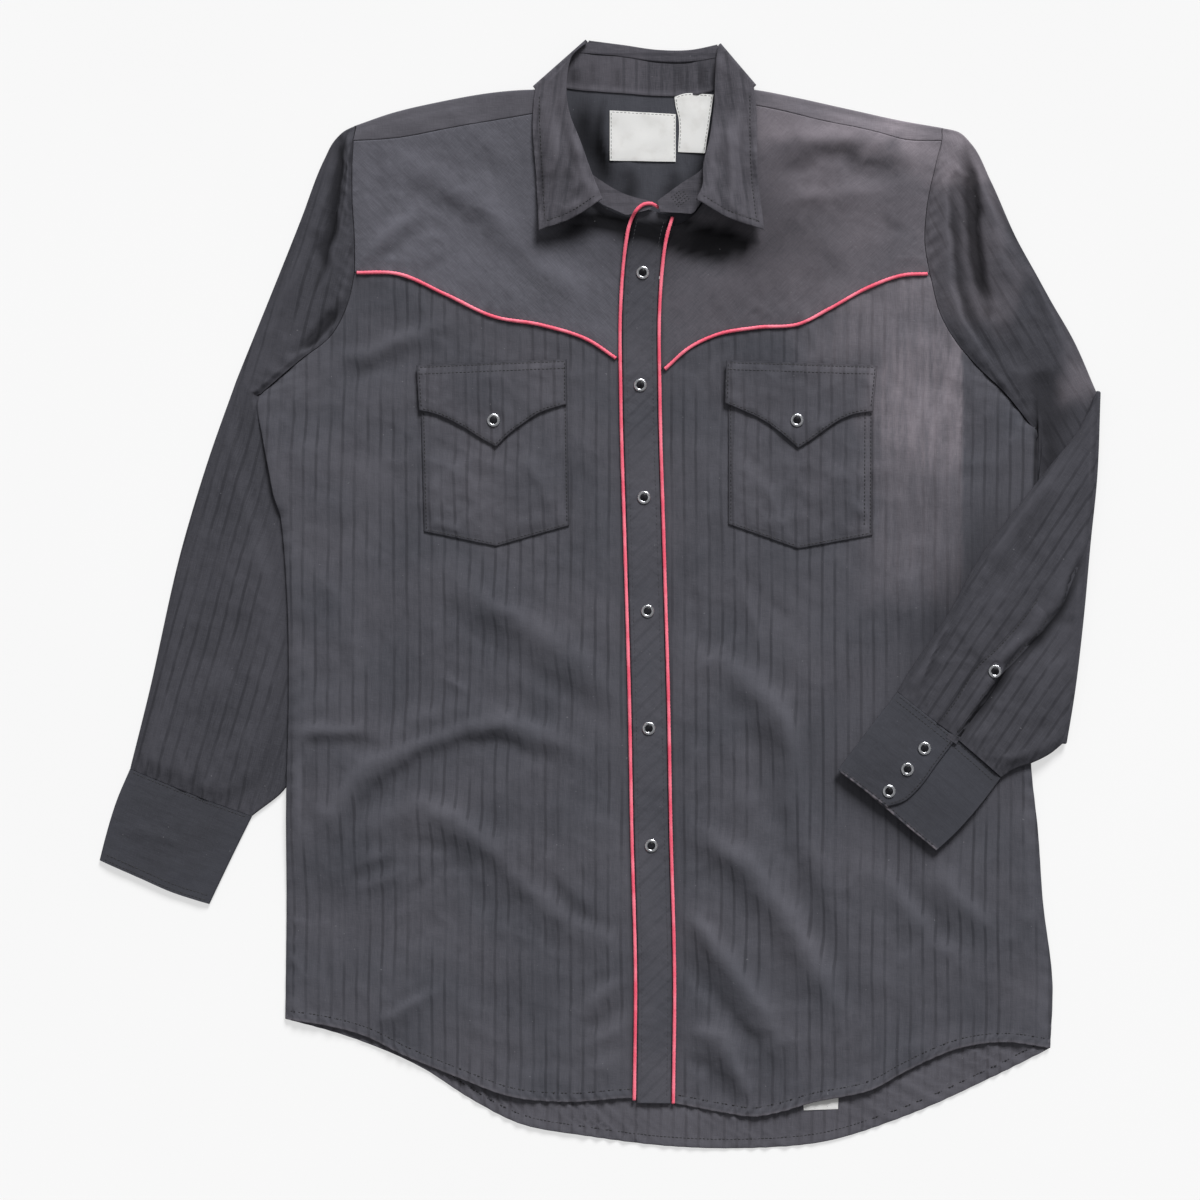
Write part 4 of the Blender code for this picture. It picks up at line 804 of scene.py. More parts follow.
def creased(xy, rows):
    """Height that the listed creases add: (half width, or its left and right one, height, points)."""
    flat = wander(xy.reshape(-1, 2), 24, 2.2, 5)
    total = np.zeros(len(flat))
    for width, height, *points in rows:
        widths = width if isinstance(width, tuple) else (width, width)
        room = 2.6 * max(widths)
        low, high = np.min(points, axis=0) - room, np.max(points, axis=0) + room
        near = np.nonzero(np.all((flat > low) & (flat < high), axis=1))[0]
        if len(near) == 0:
            continue
        distance, t = off_line(flat[near], points)
        across = distance / np.where(distance > 0, widths[0], widths[1])
        swell = at_least(CREASE_END, ease(np.minimum(t, 1 - t) / CREASE_TAPER))
        total[near] += height * np.exp(-across ** 2) * swell
    return total.reshape(xy.shape[:-1])


def window(values, none_1, full_1, full_2, none_2):
    """1 between the full limits and 0 beyond the none limits."""
    return ease((values - none_1) / (full_1 - none_1)) * ease((none_2 - values) / (none_2 - full_2))


def back_height(xy):
    """Height of the back's underside, which lies on the surface, the sleeves and the collar leaf."""
    return sum(window(xy[..., 0], *in_x) * window(xy[..., 1], *in_y) * height for in_x, in_y, height in LIFTS)


def along(xy, start, end, bow=0.0):
    """How far points lie from a bowed line, and where along it from 0 to 1."""
    start, end = np.asarray(start, float), np.asarray(end, float)
    line = end - start
    length = np.linalg.norm(line)
    forward = line / length
    side = np.array([-forward[1], forward[0]])
    t = (xy - start) @ forward / length
    within = np.clip(t, 0.0, 1.0)
    away = (xy - start) @ side - bow * 4 * within * (1 - within)
    return np.hypot(away, (t - within) * length), within


def placket_x(y):
    """x of the placket's middle at a height up the shirt."""
    return np.interp(y, *np.array(PLACKET_MID[::-1], float).T[::-1])


def uncovered(xy, zones):
    """0 where something lies on the front, 1 clear of it."""
    free = np.ones(xy.shape[:-1])
    for x_1, y_1, x_2, y_2, radius in zones:
        distance = along(xy, (x_1, y_1), (x_2, y_2 - 0.1))[0]
        free = free * ease((distance - radius) / FLAT_FADE)
    return free


def folds(xy):
    """Height that the solids' folds add."""
    total = np.zeros(xy.shape[:-1])
    for x_1, y_1, x_2, y_2, bow, half_width, height in FOLDS:
        distance, t = along(xy, (x_1, y_1), (x_2, y_2), bow)
        swell = at_least(FOLD_END, np.sin(math.pi * t))
        total = total + height * groove(distance, 0, half_width) * swell
    away = np.abs(xy[..., 0] - placket_x(xy[..., 1])) - PIPING_AT - PLACKET_CLEAR
    return total * uncovered(xy, FLAT_ZONES) * ease(away / PLACKET_FADE)


def neck_rise(xy):
    """How far the collar holds up what lies round the neck."""
    x, y = np.moveaxis((xy - np.array(NECK_CENTRE)) / NECK_RADIUS, -1, 0)
    return NECK_RISE * ease((1.62 - np.hypot(x, y)) / 0.75) * ease((400 - xy[..., 1]) / 45)


def front_low(xy):
    """Height of the front's underside with all its creases."""
    free = uncovered(xy, FLAT_ZONES[2:])
    beside = ease((np.abs(xy[..., 0] - placket_x(xy[..., 1])) - 12) / 26)
    pockets = at_least(0.45, uncovered(xy, FLAT_ZONES[:2]))
    big = FOLD_SHARE * folds(xy) + creased(xy, FRONT_CREASES) * free * at_least(0.12, beside) * pockets
    big = big + free * (FRONT_RISE * at_least(0.3, beside) + ripples(xy) * at_least(0.35, beside))
    return back_height(xy) + WALL + AIR + FRONT_SHARE * neck_rise(xy) + np.maximum(big, -FRONT_SINKS)


def ripples(xy):
    """The unevenness of washed cotton."""
    bent = wander(xy, 30, 6, 31)
    soft = (1.3 * noise(xy, 78, 11) + 0.65 * noise(bent, 40, 12, 35, 1.7)
            + 0.42 * noise(bent, 21, 17, -28, 1.6))
    sharp = 0.6 * crumple(bent, 44, 13, 60, 1.8) + 0.42 * crumple(wander(xy, 9, 3, 33), 20, 14, -30)
    return soft + sharp * (0.7 + 0.7 * noise(xy, 70, 15)) + 0.26 * noise(xy, 10, 16) - 0.2


def cuff_low(xy):
    """Height of the folded cuff's underside."""
    return back_height(xy) + BODY + OVER_FRONT + cuff_tilt(xy)


def forearm_low(xy):
    """Height of the folded forearm's underside: low at the elbow fold, and up over the front."""
    fold_x = np.interp(xy[..., 1], *np.array(ELBOW_FOLD[::-1], float).T[::-1])
    rise = ease((fold_x - ELBOW_REACH - xy[..., 0]) / FOREARM_RISE)
    return (1 - rise) * (BODY + 2 * ELBOW_BEND) + rise * cuff_low(xy)


def weave_on(xy, angle=0.0, pull=None):
    """Where each point lies on its cloth: across the stripes, and along them. 0 degrees is upright.

    pull is the cloth's height, which takes the stripes a little sideways.
    """
    turned = math.radians(angle)
    cos, sin = math.cos(turned), math.sin(turned)
    across = xy[..., 0] * cos + xy[..., 1] * sin
    length = xy[..., 1] * cos - xy[..., 0] * sin
    if pull is not None:
        across = across + STRIPE_PULL * pull
    return np.stack([across, length], axis=-1)


def rounded(grid, low, thick=PLY, free="tblr"):
    """The outer and inner side of cloth that lies flat, rounded at its free edges."""
    edges = reach(grid)
    away = np.min([edges[side] for side in free], axis=0)
    inset = 0.45 * thick * (1 - np.sqrt(1 - (1 - np.clip(away / ROUND[1], 0, 1)) ** 2))
    return lifted(grid, low + thick - inset), lifted(grid, low + inset)


def shell(name, patches, finish, nodes=None, slot=None):
    """One closed piece from patches of cloth: outer side, inner side, place on the weave, fading with painted
    highlight and shade.
    """
    outer = np.vstack([patch[0].reshape(-1, 3) for patch in patches])
    inner = np.vstack([patch[1].reshape(-1, 3) for patch in patches])
    weave = np.vstack([patch[2].reshape(-1, 2) for patch in patches])
    wear_and_painted_light = np.vstack([fade_and_painted_light(patch[3], patch[0].shape[:2]) for patch in patches])
    _, first, index = np.unique(np.round(outer * 500).astype(np.int64), axis=0,
                                return_index=True, return_inverse=True)
    index = index.ravel()
    quads, start = [], 0
    for patch in patches:
        rows, columns = patch[0].shape[:2]
        number = index[start:start + rows * columns].reshape(rows, columns)
        start += rows * columns
        corners = [number[:-1, :-1], number[:-1, 1:], number[1:, 1:], number[1:, :-1]]
        quads.append(np.stack(corners, -1).reshape(-1, 4))
    quads = np.vstack(quads)
    count = len(first)
    edges = np.vstack([quads[:, [k, (k + 1) % 4]] for k in range(4)])
    _, place, uses = np.unique(np.sort(edges, axis=1), axis=0, return_index=True, return_counts=True)
    rim = edges[place[uses == 1]]
    sides = np.column_stack([rim[:, 1], rim[:, 0], rim[:, 0] + count, rim[:, 1] + count])
    faces = np.vstack([quads, quads[:, ::-1] + count, sides])
    points = np.vstack([outer[first], inner[first]]) * MM
    item = mesh_piece(name, points, faces, finish, nodes, slot)
    for key, values in (("weave", np.column_stack([weave, 0 * weave[:, 0]])), ("wear_and_painted_light", wear_and_painted_light)):
        put = item.data.attributes.new(key, "FLOAT_VECTOR", "POINT")
        put.data.foreach_set("vector", np.vstack([values[first]] * 2).astype(np.float32).ravel())


def fade_and_painted_light(given, shape):
    """A patch's fading, painted crest highlight and painted hollow shade at each point. Given its fading
    alone, the others are nought.
    """
    given = np.asarray(given, float)
    if given.ndim < 3:
        given = np.stack([np.broadcast_to(given, shape), np.zeros(shape), np.zeros(shape)], -1)
    return given.reshape(-1, 3)


def mesh_piece(name, points, faces, finish, nodes=None, slot=None, sharp=40):
    """A piece from points in metres and faces, which rides on the shirt and stands for its nodes."""
    data = bpy.data.meshes.new(name)
    data.from_pydata(points.tolist(), [], faces.tolist() if hasattr(faces, "tolist") else faces)
    data.validate()
    work = bmesh.new()
    work.from_mesh(data)
    bmesh.ops.recalc_face_normals(work, faces=work.faces)
    work.to_mesh(data)
    work.free()
    data.materials.append(finish)
    data.shade_smooth()
    if sharp:
        data.set_sharp_from_angle(angle=math.radians(sharp))
    item = bpy.data.objects.new(name, data)
    bpy.context.collection.objects.link(item)
    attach(item, "root")
    if nodes:
        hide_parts(*nodes)
    slot or (nodes[0] if nodes else name)
    PIECES[name] = item
    return item


def surface(item):
    """Drops plan points on a piece from above, and gives their heights."""
    data = item.data
    points = [vertex.co.copy() for vertex in data.vertices]
    tree = BVHTree.FromPolygons(points, [tuple(face.vertices) for face in data.polygons])

    def drop(xy):
        heights = []
        for x, y in np.asarray(xy, float).reshape(-1, 2):
            hit = tree.ray_cast(Vector((x * MM, y * MM, 0.06)), Vector((0, 0, -1)))[0]
            heights.append(np.nan if hit is None else hit.z / MM)
        return np.array(heights)
    return drop


def cloth_sheet(name, grid, low, angle=0.0, finish=None, thick=PLY, wear_and_painted_light=0.0, pull=None):
    """A piece of cloth that lies flat, its underside at the given heights."""
    shell(name, [(*rounded(grid, low, thick), weave_on(grid, angle, pull), wear_and_painted_light)], finish or CLOTH, [name])


def turn(edge, inward, reach_in, centre, outer_radius, inner_radius):
    """Rows of cloth that turn over at an edge, from the lower to the upper layer."""
    return [np.stack([lifted(edge + inward * (reach_in - radius * math.cos(math.radians(angle))),
                             centre + radius * math.sin(math.radians(angle))) for angle in TURNS])
            for radius in (outer_radius, inner_radius)]


def ribbon_grid(middle, offsets):
    """A band's grid: its columns lie at the given distances beside a middle line."""
    return np.stack([shift(middle, offset) for offset in offsets], axis=1)


def pucker(kind, reached, run):
    """Little ridges that run in from a sewn edge: distance from it, place along it."""
    depth, width, wave, seed = PUCKERS[kind]
    along_it = np.stack([run, reached * 0], -1)
    phase = 2 * math.pi * run / wave + 3.0 * noise(along_it, wave * 2.5, seed)
    swing = np.sin(phase + 0.25 * reached) * (0.55 + 0.6 * noise(along_it, wave * 4, seed + 1))
    return depth * swing * groove(reached, 0, width)


def relief(height, passes=30):
    """How far each point of a grid stands above what lies round it, or below it, from -1 to 1."""
    level = height
    for _ in range(passes):
        near = np.pad(level, 1, mode="edge")
        level = (near[:-2, 1:-1] + near[2:, 1:-1] + near[1:-1, :-2] + near[1:-1, 2:] + 2 * level) / 6
    return np.clip((height - level) / RELIEF, -1, 1)


def wear_and_painted_light_of(xy, height, fade=0.0, dark=0.0):
    """Fading, crests and hollows at each point: crests paler as painted highlight, partly rubbed cloth, and
    hollows darker as painted shade.
    """
    stands = relief(height)
    fade = np.broadcast_to(fade, xy.shape[:-1])
    painted_shade = np.clip(np.maximum(-stands, 0) + dark, 0, PAINTED_SHADE_MOST)
    return np.stack([fade, np.maximum(stands, 0), painted_shade], axis=-1)


def painted_piping_shade(xy):
    """Painted shade beside the placket's pipings."""
    away = np.abs(np.abs(xy[..., 0] - placket_x(xy[..., 1])) - PIPING_AT)
    return 2.0 * ease((4.2 - away) / 3.4)


def painted_shadow(xy, rows=PAINTED_SHADOW_ROWS):
    """Painted shadow from rows like those of the creases: by default under the collar, beside the forearm and
    below the cuff.
    """
    return np.clip(2.5 * creased(xy, rows), 0, 5.2)


def painted_crease_shade(xy, rows, least=2.0):
    """How far points lie in the deepest of the creases, for painted shade there."""
    return np.clip(-creased(xy, [row for row in rows if row[1] < -least]) / 1.25, 0, 3.7)


def painted_edge_shade(away):
    """Painted shade right at a sewn edge."""
    return 2.1 * ease((1.9 - away) / 1.3)


def pressed(xy, height, kinds):
    """Heights with the cloth pressed flat round each snap of the given kinds."""
    full, none = SNAP_SEAT
    for _, x, y, kind in SNAPS:
        away = np.hypot(xy[..., 0] - x, xy[..., 1] - y)
        if kind in kinds and away.min() < full:
            level = height[away < full].mean()
            height = height + (level - height) * ease((none - away) / (none - full))
    return height


def sunlit(x, y, places):
    """How far the sun has bleached points, by rows of a strength, a window in x and windows in y."""
    shares = []
    for strength, in_x, *in_y in places:
        share = strength * window(x, *in_x)
        for limits in in_y:
            share = share * window(y, *limits)
        shares.append(share)
    return np.max(shares, axis=0)


def faded(xy):
    """Where the sun has bleached the shirt, from 0 to 1."""
    rag = 14 * noise(xy, 46, 41) + 6 * noise(xy, 14, 42)
    cloud = 0.75 + 0.45 * noise(xy, 34, 43)
    return np.clip(sunlit(xy[..., 0] + rag, xy[..., 1] + rag, SUN) * cloud, 0, 1)


def faded_front(xy):
    """The fronts' fading: also a bleached band with a sharp edge beside the right pocket."""
    rag = 12 * noise(xy, 40, 45) + 5 * noise(xy, 13, 46)
    slub = 0.85 + 0.4 * noise(xy, 3.0, 44, 90, 14) + 0.15 * noise(xy, 1.8, 47, 90, 20)
    edge = ease((SUN_EDGE + 1.5 * noise(xy, 18, 48) - xy[..., 0]) / 3.5)
    band = sunlit(xy[..., 0] + rag, xy[..., 1] + rag, SUN_BAND) * slub * edge
    plain = (0.05 + 0.015 * ease((xy[..., 1] + 60) / 220)) * (0.9 + 0.9 * noise(xy, 52, 49))
    return np.clip(band + np.maximum(plain, 0) + SUN_ON_FRONT * faded(xy) * (xy[..., 1] > FRONT_BELOW), 0, 1)


def faded_shoulder(xy):
    """The back yoke's fading where it comes over the shoulders."""
    return 0.16 + 0.8 * faded(xy)


def hem_step(edges):
    """The step where a hem is turned under."""
    return 0.45 * ease((HEM_FOLD - edges["b"]) / 0.7)


def make_body():
    """Fronts, front yokes and back. Panels that meet share their edge points."""
    middle = smooth(PLACKET_MID, 60)
    under_edge = shift(middle, PLACKET_HALF + SEAM)
    over_edge = shift(middle, PIPING_AT + SEAM)

    def stretch(edge, high, low, steps):
        """The part of an edge between two values of y."""
        kept = edge[(edge[:, 1] < high - END_ROOM) & (edge[:, 1] > low + END_ROOM)]
        ends = [[np.interp(y, edge[::-1, 1], edge[::-1, 0]), y] for y in (high, low)]
        return smooth(np.vstack([ends[0], kept[::2], ends[1]]), steps)

    for side, seam_y, neck, edge, armhole, low, flank, seam, shoulder, hem, lean in (
            ("left", YOKE_END_Y_L, NECKLINE_L, under_edge, ARMHOLE_YOKE_L, ARMHOLE_LOW_L, SIDE_L,
             YOKE_SEAM_L, SHOULDER_SEAM_L, HEM_L, 45),
            ("right", YOKE_END_Y_R, NECKLINE_R, over_edge, ARMHOLE_YOKE_R, ARMHOLE_LOW_R, SIDE_R,
             YOKE_SEAM_R, SHOULDER_SEAM_R, HEM_R[::-1], -45)):
        inner = smooth(neck, NECK_ROWS)
        down = stretch(edge, neck[-1][1] - END_ROOM, seam_y, YOKE_ROWS - NECK_ROWS)
        down[0] = inner[-1]
        seam_line = smooth(np.vstack([seam, down[-1]]), ACROSS)
        yoke = fill(smooth(shoulder, ACROSS), seam_line,
                    smooth(armhole, YOKE_ROWS), join(inner, down))
        yoke = tighten(trim(yoke, top=SEAM / 2, bottom=SEAM / 2, left=SEAM / 2))
        height = front_low(yoke)
        edges = reach(yoke)
        height += pucker("yoke seam", edges["b"], edges["l"]) + pucker("yoke armhole", edges["l"], edges["t"])
        # Painted shade beside the pipings, and painted shadow under the collar
        dark = painted_piping_shade(yoke) + painted_shadow(yoke)
        cloth_sheet(f"yoke_{side}", yoke, height, lean, YOKE_CLOTH[side], pull=height,
                    wear_and_painted_light=wear_and_painted_light_of(yoke, height, faded(yoke), dark))

        outer = join(smooth(low, ARMHOLE_ROWS), smooth(flank, SIDE_ROWS))
        none, full, rest, end = LAPS[side]
        lap = window(-outer[:, 1], -none, -full, -rest, -end)
        outer = outer - square_to(outer, (40, outer[:, 1].mean())) * (LAP * lap)[:, None]
        placket_side = stretch(edge, seam_y, hem[-1][1], len(outer) - 1)
        hem_line = smooth(hem, ACROSS)
        placket_side[-1] = hem_line[-1]
        placket_side[0] = seam_line[-1]
        front = fill(seam_line, hem_line, outer, placket_side)
        front = tighten(trim(front, top=SEAM / 2, left=SEAM / 2))
        edges = reach(front)
        below = ease((edges["t"] - 60) / 60)
        level = back_height(front) + WALL + AIR
        height = front_low(front)
        height = level + (height - level) * (1 - below * (1 - ease((edges["l"] + 3) / 16)))
        rows_lap = np.interp(front[:, 0, 1], outer[::-1, 1], lap[::-1])[:, None]
        height -= (AIR - SEAM) * ease((5 - edges["l"]) / 5) * below * (1 - rows_lap)
        height += LAP_RISE * ease((14 - edges["l"]) / 12) * rows_lap
        height += hem_step(edges)
        in_hem = np.maximum(HEM_FOLD / 2 - edges["b"], 0)
        height += pucker("front hem", in_hem, edges["l"] + edges["b"]) * ease((HEM_FOLD + 3 - edges["b"]) / 4)
        height += pucker("front side", edges["l"], edges["t"]) * below
        height += pucker("front top", edges["t"], edges["l"])
        # Painted shade beside the pipings, painted shadow under the collar, forearm, cuff and yoke piping,
        # and on the right painted shade at the edge below the armpit
        dark = painted_piping_shade(front) + painted_shadow(front) + 2.6 * ease((3.2 - edges["t"]) / 2.4)
        dark = dark + 3.4 * ease((5.4 - edges["l"]) / 1.6) * rows_lap * (side == "right")
        fade = faded_front(front) + 0.16 * ease((2.2 - edges["b"]) / 1.4)
        cloth_sheet(f"front_{side}", front, height, pull=height, wear_and_painted_light=wear_and_painted_light_of(front, height, fade, dark))

    left = join(smooth(ARMHOLE_LOW_L, ARMHOLE_ROWS), smooth(SIDE_L, SIDE_ROWS))
    right = join(smooth(ARMHOLE_LOW_R, ARMHOLE_ROWS), smooth(SIDE_R, SIDE_ROWS))
    back = fill(smooth(back_seam(), ACROSS), smooth(HEM_BACK, ACROSS), left, right)
    back = np.concatenate([back[:-BACK_FINE:2], back[-BACK_FINE:]])
    back = tighten(trim(back, top=SEAM / 2, left=SEAM / 2, right=SEAM / 2))
    edges = reach(back)
    height = back_height(back) + hem_step(edges)
    twist = pucker("back hem", np.maximum(edges["b"] - 30, 0), edges["l"] + 1.2 * edges["b"])
    height = height + (twist + 0.7 + 0.6 * ripples(back + 350)) * ease((44 - edges["b"]) / 20)
    height = np.maximum(height, 0.0)
    cloth_sheet("back", back, height, pull=height, wear_and_painted_light=wear_and_painted_light_of(back, height, 0.13))


def back_seam():
    """The seam between back and back yoke, hidden inside the shirt."""
    start, end = np.array(ARMHOLE_LOW_L[0], float), np.array(ARMHOLE_LOW_R[0], float)
    return np.vstack([start, (start + end) / 2 - [0, BACK_SEAM_DIP], end])


def make_back_yoke():
    """The back yoke, and its two strips that turn over the shoulders to the shoulder seams."""
    steps, neck_steps, half = 60, 48, BODY / 2
    strips = []
    for fold, towards, seam in ((SHOULDER_FOLD_L, (-150, 0), SHOULDER_SEAM_L),
                                (SHOULDER_FOLD_R, (200, 0), SHOULDER_SEAM_R)):
        edge = smooth(fold, steps)
        inward = square_to(edge, towards)
        strips.append((edge, inward, edge + inward * half, smooth(seam, steps)))
    (_, _, inset_l, _), (_, _, inset_r, _) = strips
    neck = smooth(NECK_BACK, neck_steps) - [0, SEAM]
    top = np.vstack([inset_l, neck, inset_r[::-1]])
    left = np.vstack([inset_l[0], smooth(ARMHOLE_YOKE_L, YOKE_ROWS)[1::2]])
    right = np.vstack([inset_r[0], smooth(ARMHOLE_YOKE_R, YOKE_ROWS)[1::2]])
    bottom = smooth(back_seam(), len(top) - 1)
    slab = trim(fill(top, bottom, left, right), bottom=SEAM / 2)
    slab[1:, 0] += [3 * SEAM, 0]
    slab[1:, -1] -= [3 * SEAM, 0]
    low = back_height(slab) + creased(slab, NECK_CREASES)
    # Painted shade inside the neck
    wear_and_painted_light = wear_and_painted_light_of(slab, low, 0.0, painted_shadow(slab, NECK_PAINTED_SHADE))
    patches = [(lifted(slab, low), lifted(slab, low + PLY), weave_on(slab), wear_and_painted_light)]
    for edge, inward, inset, seam in strips:
        base = back_height(inset) + creased(inset, NECK_CREASES)
        outer, inner = turn(edge, inward, half, 0.0, half, half - PLY)
        for rows in (outer, inner):
            rows[..., 2] += base + half
        patches.append((outer, inner, weave_on(outer, 90), faded_shoulder(outer)))
        strip = np.stack([inset + (seam - inset) * share for share in np.linspace(0, 1, 8)])
        strip = tighten(trim(strip, bottom=SEAM / 2), "b")
        level = front_low(strip)
        height = level + (base + BODY - PLY - level) * ease((9 - reach(strip)["t"]) / 9)
        wear_and_painted_light = wear_and_painted_light_of(strip, height, faded_shoulder(strip))
        patches.append((*rounded(strip, height, PLY, "b"), weave_on(strip, 90), wear_and_painted_light))
    shell("back_yoke", patches, INNER_CLOTH, ["back_yoke"])


def tube(name, rows, finish, lean, open_rows=0, rise=0.0, rise_below=0.0, wear_and_painted_light=None):
    """A flattened sleeve or cuff: rows of (points across, function that lays a point at a depth).

    The first rows, as many as open_rows says, run along the armhole, where the two layers stay apart.
    rise and rise_below are heights added to the layer that is upper and lower before any fold. lean gives
    the weave, and the wear argument the fading, with painted highlight and painted shade, of both layers.
    """
    half = BODY / 2
    angles = np.radians(TUBE_TURNS)
    count, bends = len(rows[0][0]), len(angles)
    low, near = slice(0, count), slice(count, count + bends)
    top, last = slice(count + bends, 2 * count + bends), 2 * count + bends
    flat = np.stack([across for across, _ in rows])
    shape = flat.shape[:2]
    rise, rise_below = np.broadcast_to(rise, shape), np.broadcast_to(rise_below, shape)
    sides = []
    for draw_in in (0.0, PLY):
        rings = []
        radius = half - draw_in
        for number, (across, lay) in enumerate(rows):
            start, end = unit(across[1] - across[0]), unit(across[-2] - across[-1])
            inset = half if number >= open_rows else 0.0
            run = distances(across)
            line = placed(across, run, half + run / run[-1] * (run[-1] - half - inset))
            curl = (half - radius * np.cos(angles))[:, None]
            far_end = (across[-1] + end * curl)[::-1]
            ring = np.vstack([line[::-1], across[0] + start * curl, line, far_end, line[-1]])
            bend = half + radius * np.sin(angles)
            depths = [np.full(count, draw_in), bend, np.full(count, BODY - draw_in), bend[::-1], [draw_in]]
            laid = lay(ring, np.concatenate(depths))
            laid[low, 2] += rise_below[number, ::-1]
            laid[top, 2] += rise[number]
            laid[-1, 2] += rise_below[number, -1]
            rings.append(laid)
        sides.append(np.stack(rings))
    outer, inner = sides

    def around(values):
        """Values of the flat grid laid round the ring."""
        ringed = np.zeros(outer.shape[:2] + values.shape[2:])
        ringed[:, low], ringed[:, near], ringed[:, top] = values[:, ::-1], values[:, :1], values
        ringed[:, last:] = values[:, -1:]
        return ringed
    weave = around(lean)
    # The fading with the painted highlight and shade, laid round the ring
    fading = around(wear_and_painted_light) if wear_and_painted_light is not None else np.zeros(outer.shape)
    patches = [(outer[:, :last], inner[:, :last], weave[:, :last], fading[:, :last]),
               (outer[open_rows:, last - 1:], inner[open_rows:, last - 1:], weave[open_rows:, last - 1:],
                fading[open_rows:, last - 1:])]
    if open_rows:
        # The lower layer's seam allowance, tucked in over the back and under the shoulder strip
        ends, corner = slice(0, open_rows + 1), slice(0, count + 2)
        inward = -square_to(flat[ends, -1], flat[open_rows // 2, 0])
        row = unit(flat[0, -1] - flat[0, 0])
        away = np.array([-row[1], row[0]])
        away = away * np.sign(away @ (flat[0, 0] - flat[4, 0]))
        seam_tuck, end_tuck = [], []
        for side in (outer, inner):
            edge, end = side[ends, 0], side[0, corner]
            under = np.minimum(end[:, 2], LAYER_HIGH)
            seam_tuck.append(np.stack([edge] + [np.column_stack([edge[:, :2] + inward * out, edge[:, 2] + up])
                                                for out, up in TUCK], axis=1))
            end_tuck.append(np.stack([end] + [np.column_stack([end[:, :2] + away * out, under + up])
                                              for out, up in TUCK]))
        for tuck, place in ((seam_tuck, (ends, slice(0, 1))), (end_tuck, (slice(0, 1), corner))):
            shape = tuck[0].shape[:2]
            patches.append((*tuck, np.broadcast_to(weave[place], shape + (2,)),
                            np.broadcast_to(fading[place], shape + (3,))))
    shell(name, patches, finish, [name])


def meet(grid, rise, away, armhole_rows):
    """A sleeve's rise, brought to the front's height at the armhole seam."""
    level = front_low(grid) + PLY - BODY
    late = ease((np.arange(len(grid)) - armhole_rows + 12) / 12)[:, None]
    return rise + (level * (1 - late) - rise) * ease((5.5 - away) / 5.5)


def on_floor(xy, depth):
    """A tube's layer that lies on the surface."""
    return lifted(xy, depth)


def on_front(xy, depth):
    """The folded forearm, upside down over the front."""
    return lifted(xy, forearm_low(xy) + BODY - depth)


def at_elbow(inward, angle):
    """The folded sleeve's turn at one angle."""
    def lay(xy, depth):
        radius = BODY - depth + ELBOW_BEND
        swing = math.radians(angle)
        plan = xy + inward * (ELBOW_REACH - radius * math.cos(swing))[:, None]
        return lifted(plan, BODY + ELBOW_BEND + radius * math.sin(swing))
    return lay


